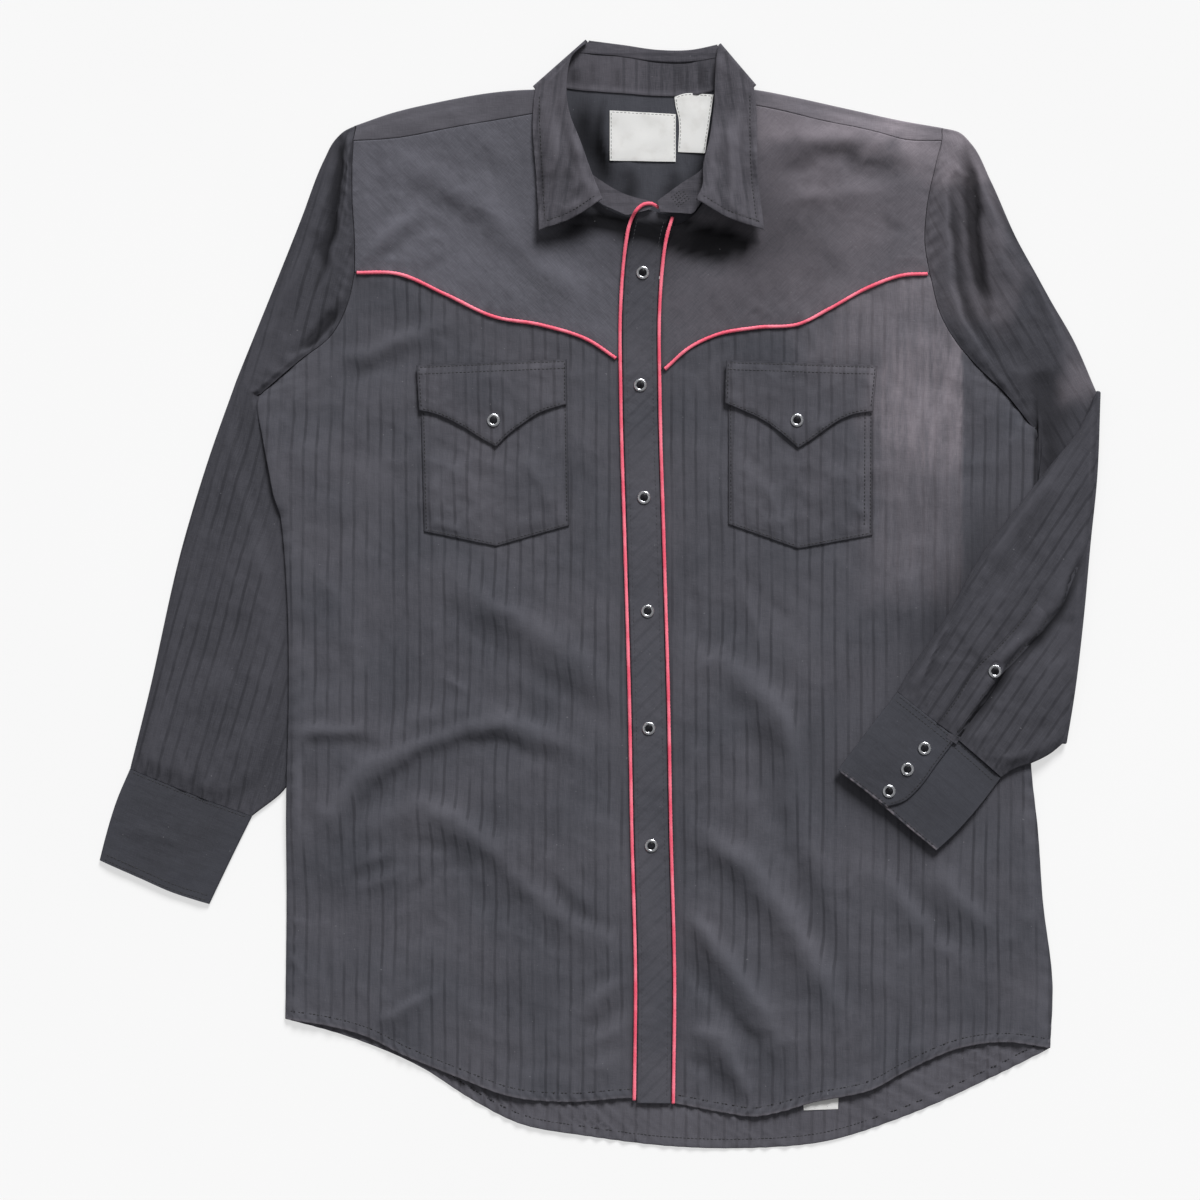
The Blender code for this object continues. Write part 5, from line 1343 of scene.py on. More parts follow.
def make_sleeves():
    """Both sleeves as flattened tubes. The right one turns over at the elbow fold."""
    across, forearm_rows, slit_rows = 56, 116, 80
    armhole_rows = YOKE_ROWS + ARMHOLE_ROWS
    outer = join(smooth(CAP_L, armhole_rows), smooth(SLEEVE_L_OUT, UNDERARM_ROWS))
    inner = join(smooth(ARMHOLE_YOKE_L, YOKE_ROWS), smooth(ARMHOLE_LOW_L, ARMHOLE_ROWS),
                 smooth(SLEEVE_L_IN, UNDERARM_ROWS))
    grid = fill(smooth((CAP_L[0], ARMHOLE_YOKE_L[0]), across), smooth(CUFF_SEAM_L, across), outer, inner)
    grid = trim(grid, bottom=SEAM / 2)
    grid[:armhole_rows + 1] = trim(grid[:armhole_rows + 1], right=SEAM)
    grid[0] -= [SEAM, 0]
    edges = reach(grid)
    hidden = ease((np.arange(len(grid)) - armhole_rows + 4) / 14)[:, None]
    clear = 1 - hidden * (1 - ease((edges["r"] - 20) / 18))
    clear = clear * ease(edges["l"] / 13)
    rise = (creased(grid, SLEEVE_L_CREASES) + SLEEVE_RISE + ripples(grid + 500)) * clear
    rise = meet(grid, rise, edges["r"], armhole_rows)
    rise += pucker("left armhole", edges["r"], edges["t"]) * (1 - hidden) * ease(edges["r"] / 3)
    rise *= at_least(0.4, ease(edges["b"] / 16))
    rise += pucker("left cuff seam", edges["b"], edges["l"]) * ease(edges["b"] / 3)
    rise = np.maximum(rise, -LAYER_SINKS)
    # Painted shade in the deepest creases
    wear_and_painted_light = wear_and_painted_light_of(grid, rise, 0.3 * faded(grid), painted_crease_shade(grid, SLEEVE_L_CREASES))
    lean = weave_on(grid, SLEEVE_L_LEAN, rise)
    tube("sleeve_left", [(row, on_floor) for row in grid], SLEEVE_CLOTH, lean, armhole_rows, rise, wear_and_painted_light=wear_and_painted_light)

    fold = smooth(ELBOW_FOLD, across)
    inward = square_to(fold, NECK_MIDDLE)
    inset = fold + inward * ELBOW_REACH
    outer = join(smooth(CAP_R, armhole_rows),
                 smooth(np.vstack([SLEEVE_R_OUT[:-1], inset[0]]), UNDERARM_ROWS))
    inner = join(smooth(ARMHOLE_YOKE_R, YOKE_ROWS), smooth(ARMHOLE_LOW_R, ARMHOLE_ROWS),
                 smooth(np.vstack([SLEEVE_R_IN[:-1], inset[-1]]), UNDERARM_ROWS))
    upper = fill(smooth((CAP_R[0], ARMHOLE_YOKE_R[0]), across), inset, outer, inner)
    upper[:armhole_rows + 1] = trim(upper[:armhole_rows + 1], right=SEAM)
    upper[0] += [SEAM, 0]
    forearm = fill(inset, smooth(CUFF_SEAM_R, across),
                   smooth(np.vstack([inset[0], FOREARM_OUT[1:]]), forearm_rows),
                   smooth(np.vstack([inset[-1], FOREARM_IN[1:]]), forearm_rows))
    forearm = trim(forearm, bottom=SEAM / 2)
    bends = len(TUBE_TURNS)
    swing = np.vstack([inward[::-1]] + [inward[:1]] * bends + [inward] + [inward[-1:]] * (bends + 1))
    turn_rows = [(fold, at_elbow(swing, angle)) for angle in ELBOW_TURNS]
    rows = [(row, on_floor) for row in upper] + turn_rows + [(row, on_front) for row in forearm]
    up, low = reach(upper), reach(forearm)
    rise_up = SLEEVE_RISE + creased(upper, SLEEVE_R_CREASES) + ripples(upper + 300)
    late = ease((np.arange(len(upper)) - armhole_rows + 8) / 30)[:, None]
    covered = 1 - late * (1 - ease((up["r"] - 36) / 30))
    under_arm = ease((np.arange(len(upper)) - armhole_rows + 2) / 8)[:, None]
    rise_up = meet(upper, rise_up * covered * ease(up["l"] / 11), up["r"], armhole_rows)
    rise_up = rise_up * ease(up["b"] / 24)
    rise_up += pucker("right armhole", up["r"], up["t"]) * (1 - late) * ease(up["r"] / 3)
    rise_up = np.clip(rise_up, -LAYER_SINKS, SLEEVE_MOST) * at_least(0.35, ease((up["b"] - 30) / 50))
    rise_low = 1.6 + creased(forearm, FOREARM_CREASES) + 1.1 * ripples(forearm - 400)
    rise_low = rise_low * ease(low["t"] / 12) * ease(low["l"] / 9) * ease(low["r"] / 9)
    rise_low = rise_low * at_least(0.4, ease(low["b"] / 16))
    rise_low += pucker("right cuff seam", low["b"], low["l"]) * ease(low["b"] / 3)
    rise_low = np.maximum(rise_low, -LAYER_SINKS)
    flat = np.concatenate([upper, np.stack([fold] * len(turn_rows)), forearm])
    start = len(upper) + len(turn_rows)
    # Below the fold the other layer shows
    rise, rise_below = np.zeros(flat.shape[:2]), np.zeros(flat.shape[:2])
    rise[:len(upper)], rise_below[start:] = rise_up, rise_low
    lean = weave_on(flat, SLEEVE_R_LEAN, rise)
    lean[len(upper):] = weave_on(flat[len(upper):], FOREARM_LEAN, rise_below[len(upper):])
    wear_and_painted_light = np.zeros(flat.shape[:2] + (3,))
    # Painted shade in the deepest creases, and in the armpit
    shade = painted_crease_shade(upper, SLEEVE_R_CREASES) + 5.0 * under_arm * ease((30 - up["r"]) / 22)
    wear_and_painted_light[:len(upper)] = wear_and_painted_light_of(upper, rise_up, faded(upper), shade)
    wear_and_painted_light[start:] = wear_and_painted_light_of(forearm, rise_low, 0.0, painted_crease_shade(forearm, FOREARM_CREASES))
    tube("sleeve_right", rows, SLEEVE_CLOTH, lean, armhole_rows, rise, rise_below, wear_and_painted_light)

    slit = shift(smooth(SLIT_EDGE, slit_rows), SLEEVE_PLACKET_HALF)
    band = tighten(ribbon_grid(slit, np.linspace(-SLEEVE_PLACKET_HALF, SLEEVE_PLACKET_HALF, 9)))
    plain = forearm_low(band) + BODY + 2 * SEAM
    height = surface(PIECES["sleeve_right"])(band).reshape(plain.shape) + 0.15
    height = np.where(np.isnan(height), plain, np.maximum(height, plain - LAYER_SINKS))
    return band, height


def make_cuffs():
    """The hanging cuff is a flattened ring. The folded one shows how its ends overlap."""
    across, length = 44, 32
    ring = fill(smooth(CUFF_SEAM_L, across), smooth(CUFF_L_END, across),
                smooth(CUFF_L_OUT, length), smooth(CUFF_L_IN, length))
    ring = trim(ring, top=SEAM / 2)
    edges = reach(ring)
    rise = 0.9 + 0.5 * ripples(ring + 700) + creased(ring, CUFF_L_CREASES)
    rise += pucker("left cuff", edges["t"], edges["l"])
    rise = np.maximum(rise * ease(edges["l"] / 7) * ease(edges["r"] / 7), -0.5)
    lean = np.stack([-edges["t"], edges["l"]], axis=-1)
    tube("cuff_left", [(row, on_floor) for row in ring], CUFF_CLOTH, lean, rise=rise)

    steps = 40
    layers = {"under": 0.0, "middle": 2 * CUFF_INNER_TURN - WALL, "over": 2 * CUFF_OUTER_TURN - WALL}
    left_edge, right_edge = smooth(CUFF_R_OUT, steps), smooth(CUFF_R_IN, steps)
    in_left, in_right = square_to(left_edge, CUFF_R_MIDDLE), square_to(right_edge, CUFF_R_MIDDLE)
    left, right = left_edge + in_left * CUFF_OUTER_TURN, right_edge + in_right * CUFF_INNER_TURN
    seam, end = CUFF_SEAM_R[1:-1], CUFF_R_END[1:-1]
    under = fill(smooth(np.vstack([left[0], seam, right[0]]), 44),
                 smooth(np.vstack([left[-1], end, right[-1]]), 44), left, right)
    middle_end, over_end = smooth(UNDERLAP_END, steps), smooth(OVERLAP_END, steps)
    middle = fill(smooth((middle_end[0], seam[1], right[0]), 26),
                  smooth((middle_end[-1], end[1], right[-1]), 26), middle_end, right)
    over = fill(smooth((left[0], seam[0], over_end[0]), 30),
                smooth((left[-1], over_end[-1]), 30), left, over_end)
    patches = []
    for grid, level, faces_down, free in ((under, "under", True, "tb"), (middle, "middle", False, "tbl"),
                                          (over, "over", False, "tbr")):
        grid = tighten(trim(grid, top=SEAM / 2), free)
        if level == "under":
            corner_left, corner_right = grid[:, 0], grid[:, -1]
        elif level == "middle":
            grid[:, -1] = corner_right
        else:
            grid[:, 0] = corner_left
        low = cuff_low(grid) + layers[level]
        edges = reach(grid)
        if level == "over":
            swell = 0.7 + 0.4 * ripples(grid + 900)
            low = low + swell * ease(edges["l"] / 9) * ease((edges["r"] + 4) / 9)
            low += pucker("right cuff", edges["t"], edges["l"]) * ease(edges["l"] / 9)
        outer, inner = rounded(grid, low, PLY, free)
        lean = np.stack([-edges["t"], edges["l"]], axis=-1)
        frayed = 0.75 * ease((2.4 - edges["b"]) / 1.6) * np.clip(0.35 + 1.6 * noise(grid, 3.5, 77), 0, 1)
        frayed = fade_and_painted_light(frayed, frayed.shape).reshape(frayed.shape + (3,))
        patches.append((inner, outer, lean, frayed) if faces_down else (outer, inner, lean, frayed))
    # Each turn's first and last rows are those of the layers that it joins
    for line, inward, radius, joined, column in ((corner_left, in_left, CUFF_OUTER_TURN, patches[2], 0),
                                                 (corner_right, in_right, CUFF_INNER_TURN, patches[1], -1)):
        inward = spread_rows(inward, line)
        sides = turn(line - inward * radius, inward, radius, 0.0, radius, radius - PLY)
        for rows, first, last in zip(sides, patches[0], joined):
            rows[..., 2] += cuff_low(line) + radius
            rows[0], rows[-1] = first[:, column], last[:, column]
        run = distances(line)
        patches.append((*sides, same_weave(sides[0], np.stack([-run, 0 * run], axis=-1)), 0.0))
    shell("cuff_right", patches, CUFF_CLOTH, ["cuff_right"])


def same_weave(rows, weave):
    """One row's places on the weave, for every row of a turn."""
    return np.zeros(rows.shape[:2] + (2,)) + weave


def spread_rows(vectors, line):
    """Vectors given at equal steps along an edge, for an edge with close rows at its ends."""
    run = distances(line)
    return unit(placed(vectors, np.linspace(0, run[-1], len(vectors)), run))


def corner_fold(fold, across):
    """A collar's corner fold, the way in from it, and where its turn ends."""
    line = smooth(fold, across)
    inward = square_to(line, NECK_MIDDLE)
    return line, inward, line + inward * COLLAR_CENTRE


def make_leaf():
    """The collar's leaf, which runs round the neck: under the back, and on the front at the sides."""
    across, length, round_back = 22, 60, 60
    sides = []
    for fold, inner_edge, outer_edge, end in ((COLLAR_FOLD_L, ROLL_L, FREE_L, LEAF_END_L),
                                              (COLLAR_FOLD_R, ROLL_R, FREE_R, LEAF_END_R)):
        _, inward, inset = corner_fold(fold, across)
        side = fill(inset, smooth(end, across), smooth(np.vstack([inset[0], inner_edge[1:]]), length),
                    smooth(np.vstack([inset[-1], outer_edge[1:]]), length))
        sides.append((inward, inset, tighten(side, "rlb")))
    (_, inset_l, _), (_, inset_r, _) = sides
    half = (COLLAR_LIFT + WALL) / 2
    roll = smooth(ROLL_BACK, round_back)
    roll_inset = roll + square_to(roll, NECK_MIDDLE) * half
    top = smooth(np.vstack([inset_l[0], roll_inset[1:-1], inset_r[0]]), round_back)
    bottom = smooth(np.vstack([inset_l[-1], FREE_BACK, inset_r[-1]]), round_back)
    under = tighten(fill(top, bottom, inset_l, inset_r), "b")
    outer, inner = rounded(under, np.zeros(under.shape[:2]), LEAF_PLY, "b")
    patches = [(inner, outer, weave_on(under, 90), 0.0)]
    for (inward, _, side), offset, angle in zip(sides, (160, 120), (-8, 8)):
        inward = spread_rows(inward, side[0])
        bend = turn(side[0] - inward * COLLAR_CENTRE, inward, COLLAR_CENTRE, COLLAR_CENTRE,
                    COLLAR_CENTRE, COLLAR_CENTRE - LEAF_PLY)
        edges = reach(side)
        base = back_height(side) + neck_rise(side) + BODY
        crown = ease(edges["t"] / 12)
        rumpled = 1.3 + 0.9 * ripples(1.4 * side + offset) + creased(side, LEAF_CREASES)
        height = base + SEAM + crown * rumpled * at_least(0.4, ease(edges["l"] / 9))
        height = height + crown * (1.6 * ease((14 - edges["l"]) / 12) + 6.4 * ease((42 - edges["b"]) / 42))
        height = np.maximum(height, base + 0.2)
        stitched = np.minimum(edges["r"], edges["b"])
        height += pucker("leaf", np.abs(stitched - 3), edges["t"] + edges["l"]) * crown
        height += 0.5 * noise(side, 7, 76, 90 if angle > 0 else 80, 3.0) * crown
        height -= 0.4 * groove(stitched, LEAF_STITCH, 1.1) * crown
        outer, inner = rounded(side, height, LEAF_PLY, "lrb")
        lean = weave_on(side, angle)
        # Painted shade in the stitching groove
        wear_and_painted_light = wear_and_painted_light_of(side, height, 0.25 * faded(side), 1.2 * groove(stitched, LEAF_STITCH, 0.9))
        patches.append((outer, inner, lean, wear_and_painted_light))
        # The corner fold joins the layer below to this one
        bend[0][-1], bend[1][-1] = outer[0], inner[0]
        patches.append((*bend, same_weave(bend[0], lean[0]), 0.0))
    # The roll behind the neck, and a short strip on from it
    hook = under[0, 1:-1]
    hook_in = square_to(hook, NECK_MIDDLE)
    bend = turn(hook - hook_in * half, hook_in, half, half, half, half - LEAF_PLY)
    patches.append((*bend, same_weave(bend[0], weave_on(hook, 90)), 0.0))
    down = np.linspace(0, 1, 5)
    strip = np.stack([hook + hook_in * SHORT_STRIP * share for share in down])
    from_left = np.linalg.norm(hook - hook[0], axis=1)
    spread = 4 * ease((from_left - from_left[-1] + 24) / 24) - 10 * ease((24 - from_left) / 24)
    strip[..., 0] += down[:, None] * spread
    strip = tighten(strip, "b")
    level = COLLAR_LIFT + WALL - LEAF_PLY + 0.3 * ease(reach(strip)["t"] / 6)
    patches.append((*rounded(strip, level, LEAF_PLY, "b"), weave_on(strip, 90), 0.0))
    shell("collar_leaf", patches, COLLAR_CLOTH, ["collar_leaf"])


def make_stand():
    """The stand inside the neck, whose sides lie under the leaf."""
    across, rows = 14, 54
    sides = []
    for fold, shoulder, inner_edge, neckline, tip in (
            (STAND_FOLD_L, STAND_SHOULDER_L, STAND_IN_L, NECKLINE_L, STAND_TIP_L),
            (STAND_FOLD_R, STAND_SHOULDER_R, STAND_IN_R, NECKLINE_R, STAND_TIP_R)):
        line, inward, inset = corner_fold(fold, across)
        seam = smooth(neckline, 6)
        seam = seam + square_to(seam, NECK_MIDDLE) * 2 * SEAM
        outer = even(np.vstack([inset[-1], shoulder, seam[:-1], tip]), rows)
        inner = smooth(np.vstack([inset[0], inner_edge[1:]]), rows)
        sides.append((line, inward, inset, fill(inset, smooth((inner_edge[-1], tip), across), inner, outer)))
    (_, _, inset_l, _), (_, _, inset_r, _) = sides
    bottom = np.vstack([inset_l[-1], smooth(NECK_BACK, 58), inset_r[-1]])
    top = smooth(np.vstack([inset_l[0], STAND_TOP, inset_r[0]]), len(bottom) - 1)
    under = fill(top, bottom, inset_l, inset_r)
    lip = reach(under)["b"]
    dip = creased(under, NECK_CREASES) + 0.9 * ease((5 - lip) / 4)
    # Painted shade along the stand's lower edge and inside the neck
    wear_and_painted_light = wear_and_painted_light_of(under, dip, 0.0, painted_edge_shade(lip) + painted_shadow(under, NECK_PAINTED_SHADE))
    low, high = lifted(under, COLLAR_LIFT + dip), lifted(under, COLLAR_LIFT + PLY + dip)
    patches = [(low, high, weave_on(under), wear_and_painted_light)]
    outer_radius = COLLAR_CENTRE - COLLAR_LIFT
    for line, inward, _, side in sides:
        bend = turn(line, inward, COLLAR_CENTRE, COLLAR_CENTRE, outer_radius, outer_radius - PLY)
        patches.append((*bend, same_weave(bend[0], weave_on(line, 90)), 0.0))
        edges = reach(side)
        height = back_height(side) + neck_rise(side) + WALL + AIR
        height = height + 0.4 * ripples(1.6 * side + 60) * ease(edges["t"] / 12)
        height += pucker("stand", np.minimum(edges["r"], edges["l"]), edges["t"]) * ease(edges["t"] / 60)
        outer, inner = lifted(side, height + WALL), lifted(side, height + WALL - PLY)
        outer[0], inner[0] = bend[0][-1], bend[1][-1]
        patches.append((outer, inner, weave_on(side, 90), wear_and_painted_light_of(side, height)))
    shell("collar_stand", patches, COLLAR_CLOTH, ["collar_stand"])


def cord(name, middle):
    """Covered piping: a round cord with its cloth twisted round it, level below."""
    angles = np.linspace(-0.18 * math.pi, 1.18 * math.pi, CORD_SPOKES)
    run = distances(middle)
    base = front_low(middle) + WALL + SEAM
    over = surface(PIECES["collar_stand"])(middle) if name == "piping_placket_left" else base
    base = np.where(np.isnan(over), base, np.maximum(base, over))
    for _ in range(14):
        base[1:-1] = np.maximum(base[1:-1], (base[:-2] + base[2:]) / 2)
    twist = (1 + 0.07 * np.sin(run[:, None] * 2 * math.pi / CORD_TWIST + 2.5 * angles[None])
             + 0.08 * noise(np.stack([run, run * 0], -1), 14, 81)[:, None])
    aside = np.cos(angles)[None] * (CORD_HALF_WIDE * twist)
    height = base[:, None] + CORD_MIDDLE + np.sin(angles)[None] * (CORD_HALF_HIGH * twist)
    rings = lifted(middle[:, None] + left_of(middle)[:, None] * aside[..., None], height)
    number = np.arange(rings[..., 0].size).reshape(rings.shape[:2])
    beside = np.roll(number, -1, axis=1)
    quads = np.stack([number[:-1], beside[:-1], beside[1:], number[1:]], -1).swapaxes(0, 1).reshape(-1, 4)
    faces = quads.tolist() + [number[0].tolist(), number[-1, ::-1].tolist()]
    mesh_piece(name, rings.reshape(-1, 3) * MM, faces, PIPING, [name], sharp=0)


def make_placket():
    """The placket band, and the piping beside it and in the yoke seams."""
    middle = smooth(PLACKET_MID, BAND_ROWS)
    band = tighten(ribbon_grid(middle, np.linspace(-PLACKET_HALF, PLACKET_HALF, 13)))
    edges = reach(band)
    height = front_low(band) + WALL + SEAM + 0.25
    sides = np.minimum(edges["l"], edges["r"])
    height += pucker("placket", np.abs(sides - 3), edges["t"]) + 0.12 * noise(band, 12, 85)
    height -= 0.16 * groove(sides, PLACKET_STITCH, 0.9)
    height = pressed(band, np.maximum(height, front_low(band) + WALL), ["placket"])
    # Painted shade beside the pipings, and painted shadow under the collar
    wear_and_painted_light = wear_and_painted_light_of(band, height, faded_front(band), painted_piping_shade(band) + painted_shadow(band))
    cloth_sheet("placket", band, height, -45, BAND_CLOTH, pull=height, wear_and_painted_light=wear_and_painted_light)

    left_line, right_line = shift(middle, -PIPING_AT), shift(middle, PIPING_AT)
    straight = left_line[left_line[:, 1] < CURL_JOINS]
    cord("piping_placket_left", smooth(np.vstack([PIPING_CURL, straight[::6]]), 2 * BAND_ROWS))
    cord("piping_placket_right", smooth(right_line[::6], 2 * BAND_ROWS))
    for side, (start, end), inside in (("left", YOKE_PIPING_ENDS_L, YOKE_SEAM_L[1:-1]),
                                       ("right", YOKE_PIPING_ENDS_R, YOKE_SEAM_R[1:])):
        cord(f"piping_yoke_{side}", smooth(np.vstack([start, inside, end]), 320))


def make_pockets():
    """Both chest pockets, each with its flap on it."""
    for side, name, shape, rows in (("left", "pocket", POCKET_L, 54), ("left", "flap", FLAP_L, 26),
                                    ("right", "pocket", POCKET_R, 54), ("right", "flap", FLAP_R, 26)):
        is_flap = name == "flap"
        halves, level = (28, SEAM + WALL + SEAM) if is_flap else (26, SEAM)
        bottom = join(smooth(shape["bottom left"], halves), smooth(shape["bottom right"], halves))
        grid = tighten(fill(smooth(shape["top"], 2 * halves), bottom,
                            smooth(shape["left"], rows), smooth(shape["right"], rows)))
        edges = reach(grid)
        away = np.min([edges["l"], edges["r"], edges["b"]], axis=0)
        height = front_low(grid) + WALL + level
        height += (0.4 if is_flap else 0.1) + 0.25 * ease(away / 6) - 0.35 * groove(away, POCKET_GROOVE, 0.9)
        if is_flap:
            swell = 1.0 + 0.6 * ripples(1.3 * grid + 40)
            height += swell * ease((edges["t"] + 3) / 10) * ease((away + 7) / 12)
            height += np.maximum(0.9 - edges["t"] / 60, 0)
        else:
            clear = ease((edges["t"] - 52) / 26)
            height += np.maximum(0.9 * ripples(1.3 * grid + 20) + 0.8, -0.2) * ease(away / 12) * clear
            height += creased(grid, POCKET_CREASES) * ease(away / 8) * clear
        height += pucker(f"{name} {side}", away, edges["t"] + edges["l"])
        height = np.maximum(height, front_low(grid) + WALL + 0.05)
        if is_flap:
            height = pressed(grid, height, ["flap"])
        # Painted shade right at the sewn edges
        wear_and_painted_light = wear_and_painted_light_of(grid, height, faded_front(grid) + 0.02, painted_edge_shade(np.minimum(away, edges["t"])))
        cloth_sheet(f"{name}_{side}", grid, height, pull=height, wear_and_painted_light=wear_and_painted_light)


def make_labels():
    """The three blank labels."""
    for name, shape in (("label_main", LABEL_MAIN), ("label_care", LABEL_CARE), ("label_hem", LABEL_HEM)):
        grid = fill(*(smooth(shape[edge], 24) for edge in ("top", "bottom", "left", "right")))
        height = back_height(grid) + WALL + SEAM + LABEL_PLY * (1 + noise(grid, 16, 99))
        cloth_sheet(name, grid, height, 0, LABEL, LABEL_PLY)


def make_sleeve_placket(slit, height):
    """The forearm's slit: its placket, and a thin sheet of painted shade over the opening beside it."""
    edges = reach(slit)
    height = height + 1.1 * ease((5 - edges["r"]) / 4)
    height = height - (PLY + 0.3) * ease((7 - edges["l"]) / 6)
    in_upper_half = ease((slit[..., 1] + 60) / 20)
    height = height - (PLY + 1.5) * ease((16 - np.minimum(edges["t"], edges["b"])) / 14) * in_upper_half
    height = pressed(slit, height, ["sleeve placket"])
    # Painted shade along the placket's free edge
    wear_and_painted_light = wear_and_painted_light_of(slit, height, 0.0, painted_edge_shade(edges["r"]))
    cloth_sheet("sleeve_placket", slit, height, FOREARM_LEAN, SLEEVE_CLOTH, wear_and_painted_light=wear_and_painted_light)

    line = smooth(OPENING, 120)
    share = np.linspace(0, 1, 121)
    wide = np.interp(share, *OPENING_WIDTHS)
    start, ahead = shift(line, -1.0), shift(line, 1.0) - shift(line, -1.0)
    grid = np.stack([start + ahead / 2 * out * wide[:, None] * 0.5 for out in np.linspace(0, 2, 11)], axis=1)
    low = surface(PIECES["sleeve_right"])(grid).reshape(grid.shape[:2])
    low = np.where(np.isnan(low), np.nanmean(low), low) + 0.02
    out = np.linspace(0, 1, 11)[None] + 0 * low
    # Painted shade, darkest at the slit's edge
    dark = 5.2 * (1 - out) ** 1.4 * ease(share / 0.04)[:, None] * ease((1 - share) / 0.3)[:, None]
    wear_and_painted_light = np.stack([0 * dark, 0 * dark, dark], axis=-1)
    patch = lifted(grid, low), lifted(grid, low - 0.2), weave_on(grid, FOREARM_LEAN), wear_and_painted_light
    shell("sleeve_opening_painted_shade", [patch], SLEEVE_CLOTH, None, "sleeve_right")


def turned(profile, spokes, lobes=0, depth=0.0):
    """Points and faces of a solid turned from a profile of radius and height, ridged in plan if asked."""
    points, faces = [], []
    for radius, height, ridge in profile:
        for k in range(spokes):
            spoke = 2 * math.pi * k / spokes
            wide = radius * (1 + depth * ridge * math.cos(lobes * spoke)) if lobes else radius
            points.append((wide * math.cos(spoke), wide * math.sin(spoke), height))
    for ring in range(len(profile) - 1):
        for k in range(spokes):
            nxt = (k + 1) % spokes
            base = ring * spokes
            faces.append((base + k, base + nxt, base + spokes + nxt, base + spokes + k))
    points.append((0.0, 0.0, profile[0][1]))
    points.append((0.0, 0.0, profile[-1][1]))
    top = (len(profile) - 1) * spokes
    for k in range(spokes):
        nxt = (k + 1) % spokes
        faces.append((len(points) - 2, nxt, k))
        faces.append((len(points) - 1, top + k, top + nxt))
    return np.array(points), faces


def make_snaps():
    """Pearl snaps: a prong ring of bright metal round a dark cap."""
    carriers = {"placket": "placket", "cuff": "cuff_right", "sleeve placket": "sleeve_placket"}
    for name, x, y, kind in SNAPS:
        under = carriers.get(kind, "flap_left" if x < 0 else "flap_right")
        spread = [(x + 5 * math.cos(a), y + 5 * math.sin(a)) for a in np.linspace(0, 2 * math.pi, 9)[:-1]]
        z = float(np.nanmax(surface(PIECES[under])(spread)))
        ring, ring_faces = turned(SNAP_RING, 60, 20, 0.05)
        cap, cap_faces = turned(SNAP_CAP, 40)
        for part, points, faces, finish, nodes in (("", ring, ring_faces, CHROME, [name]),
                                                   ("_cap", cap, cap_faces, PEARL, None)):
            place = (points + [x, y, z - 0.15]) * MM
            mesh_piece(name + part, place, faces, finish, nodes, slot=name, sharp=50)


def stitches(carrier, lines, finish=None, spacing=3.2, long=2.2, wide=1.0):
    """Rows of sewing on a piece: each stitch is a short rounded bar sunk a little in the cloth."""
    drop = surface(PIECES[carrier])
    up = np.array([0, 0, STITCH_HIGH])
    points, faces = [], []
    for line in lines:
        line = np.asarray(line, float)
        run = distances(line)
        starts = np.arange(1.0, run[-1] - long, spacing)
        ends = [placed(line, run, starts + more) for more in (0.0, long / 2, long)]
        high = [drop(place) for place in ends]
        for k in range(len(starts)):
            zs = [h[k] for h in high]
            if np.isnan(zs).any() or max(zs) - min(zs) > STITCH_STEEPEST:
                continue
            a, m, b = (np.append(place[k], z) for place, z in zip(ends, zs))
            ahead = unit(b - a)
            side = unit(np.array([-ahead[1], ahead[0], 0.0])) * wide / 2
            base = len(points)
            for centre, share, rise in ((a, 0.5, -0.1), (a + ahead * 0.3, 1.0, 0.75), (m, 1.0, 1.0),
                                        (b - ahead * 0.3, 1.0, 0.75), (b, 0.5, -0.1)):
                points += [centre - side * share - up * 0.6, centre + up * rise - side * share * 0.35,
                           centre + up * rise + side * share * 0.35, centre + side * share - up * 0.6]
            for low in range(base, base + 16, 4):
                faces += [(low + i, low + (i + 1) % 4, low + 4 + (i + 1) % 4, low + 4 + i) for i in range(4)]
            faces += [(base + 3, base + 2, base + 1, base), (base + 16, base + 17, base + 18, base + 19)]
    mesh_piece(f"{carrier}_stitches", np.array(points) * MM, faces, finish or THREAD, None, carrier, sharp=0)


def sewn(points, inset, cut=(2, 2)):
    """A line of sewing: an edge moved to the left of its direction, and shortened at its ends."""
    line = shift(smooth(points, 90), inset)
    run = distances(line)
    return placed(line, run, np.linspace(cut[0], run[-1] - cut[1], 160))


